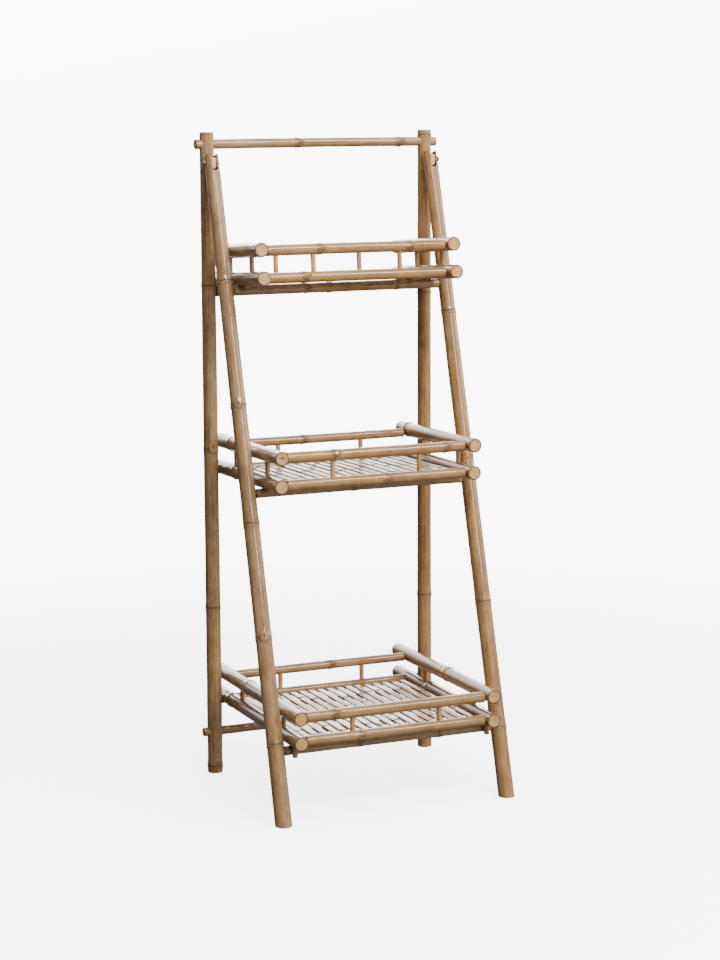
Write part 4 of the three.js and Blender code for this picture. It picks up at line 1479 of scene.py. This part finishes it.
def screw(side, sign):
    """A pan-head screw with a straight slot across its head, on the washer's axis."""
    low, high, _, inner = fitting_box("hinge_screw_" + side, sign)
    axis = fitting_box("hinge_washer_" + side, sign)[2]
    start = Vector((inner.x, axis.y, axis.z))
    outward = Vector((sign, 0, 0))
    head = (high.z - low.z) / 2
    total = high.x - low.x
    neck = total - HEAD_HEIGHT
    body = lathe("screw_" + side, [
        (0, 0), (0.6 * MM, 1.9 * MM), (1.2 * MM, SHANK_RADIUS), (neck, SHANK_RADIUS),
        (neck, head - 0.1 * MM), (neck + 0.15 * MM, head), (neck + 1.1 * MM, head),
        (neck + 2.0 * MM, head * 0.88), (neck + 2.55 * MM, head * 0.6), (total, head * 0.25), (total, 0),
    ], start, outward)
    wide, tall = SLOT_LENGTH / 2, SLOT_GAP / 2
    turn = Matrix.Rotation(math.radians(90), 4, "Z") @ Matrix.Rotation(SLOT_TURN, 4, "Y")
    slot = prism("slot", [(-wide, -tall), (wide, -tall), (wide, tall), (-wide, tall)],
                 -1.3 * MM, 1.5 * MM, Matrix.Translation(start + outward * total) @ turn)
    piece = cut_away(body, slot)
    piece.data.materials.clear()
    piece.data.materials.append(STEEL)
    return piece


for side, sign in (("left", -1), ("right", 1)):
    adopt(tongue(side, sign), "rear_frame", "hinge_tongue_" + side, slot="dowel")
    adopt(washer(side, sign), "front_frame", "hinge_washer_" + side, slot="steel")
    adopt(screw(side, sign), "front_frame", "hinge_screw_" + side, slot="steel")
    print("hinge fittings done on the", side)

# %% [markdown]
# ## Floor and light
#
# The stand was photographed on a pale floor in front of a bright white sweep, in soft light
# from above. The world holds the sweep, a high window behind the stand and the dim room in
# front. Lacquer mirrors whatever is bright, so a broad panel would turn the canes milky. The
# broad panels are therefore hidden from reflections, and two narrow ones draw the thin bright
# lines that run along the rails.


# %% Pale floor
def pale_floor():
    """A pale floor that melts into the white of the room a few steps away from the stand."""
    material, g, shader = new_material("pale_floor")
    away = g.vector("LENGTH", g.add("ShaderNodeTexCoord").outputs["Object"])
    dress(g, shader, {"Base Color": (0.90, 0.90, 0.90, 1), "Roughness": 0.9,
                      "Emission Color": (1, 1, 1, 1), "Emission Strength": 4.2,
                      "Alpha": g.remap(away, 0.9, 2.6, 1.0, 0.0, smooth=True)})
    mesh = bpy.data.meshes.new("floor")
    size = 3.0
    mesh.from_pydata([(-size, -size, 0), (size, -size, 0), (size, size, 0), (-size, size, 0)], [],
                     [(0, 1, 2, 3)])
    mesh.materials.append(material)
    piece = in_scene("floor", mesh)
    piece.location.z = -0.0005
    piece.visible_diffuse = False
    piece.visible_glossy = False
    return piece


print("floor", tuple(round(side, 2) for side in pale_floor().dimensions))

# %% Room and lights
SWEEP_WAY = (0.30, 0.954, 0.0)
WINDOW_WAY = (0.05, 0.90, 0.43)
RIGHT_WAY = (0.75, -0.60, 0.28)
SEEN_WHITE = 9.0

# Name: place, what it is aimed at, its two sides, its power, and whether the lacquer mirrors it
PANELS = {
    "overhead": ((0.3, -0.2, 3.4), (0.1, 0, 0.6), (3.0, 2.4), 124, False),
    "front_soft": ((1.6, -3.2, 2.1), (0, 0, 0.8), (3.0, 2.2), 12, False),
    "top_line": ((0.3, -2.2, 2.8), (0, 0, 0.7), (2.6, 0.42), 150, True),
    "front_strip": ((0.60, -3.3, 2.2), (0, 0, 0.75), (0.30, 1.4), 42, True),
    "front_low": ((1.2, -3.0, 0.6), (0, 0, 0.65), (1.0, 1.0), 24, False),
    "right_side": ((3.0, -0.6, 1.8), (0, 0, 0.6), (1.0, 2.0), 40, True),
}


def soft_panel(name, place, target, size, power, mirrored):
    """A rectangle of light at its place, turned to face its target."""
    data = bpy.data.lights.new(name, "AREA")
    data.shape = "RECTANGLE"
    data.size, data.size_y = size
    data.energy = power
    panel = in_scene(name, data)
    panel.location = place
    panel.rotation_euler = (Vector(target) - Vector(place)).to_track_quat("-Z", "Y").to_euler()
    panel.visible_glossy = mirrored
    return panel


def white_room():
    """A white sweep and a high window behind the stand, and a dim room in front of it."""
    world = bpy.data.worlds.new("white_room")
    bpy.context.scene.world = world
    world.use_nodes = True
    g = Graph(world.node_tree)
    background = next(n for n in world.node_tree.nodes if n.type == "BACKGROUND")
    way = g.add("ShaderNodeTexCoord").outputs["Generated"]
    behind = g.vector("DOT_PRODUCT", way, SWEEP_WAY)
    above = g.remap(g.separate(way)["Z"], -0.02, 0.10, smooth=True)
    sweep = g.times(g.remap(behind, 0.76, 0.94, 0.0, 3.4, smooth=True), above)
    window = g.remap(g.vector("DOT_PRODUCT", way, WINDOW_WAY), 0.82, 0.95, 0.0, 3.6, smooth=True)
    room = g.remap(g.vector("DOT_PRODUCT", way, RIGHT_WAY), -0.3, 0.9, 0.15, 0.60, smooth=True)
    seen = g.add("ShaderNodeLightPath").outputs["Is Camera Ray"]
    strength = g.plus(g.plus(g.plus(sweep, window), room), g.times(seen, SEEN_WHITE))
    dress(g, background, {"Color": (1, 1, 1, 1), "Strength": strength})
    return world


print("world", white_room().name)
for name, settings in PANELS.items():
    panel = soft_panel(name, *settings)
    print(panel.name, panel.data.energy, "watts")
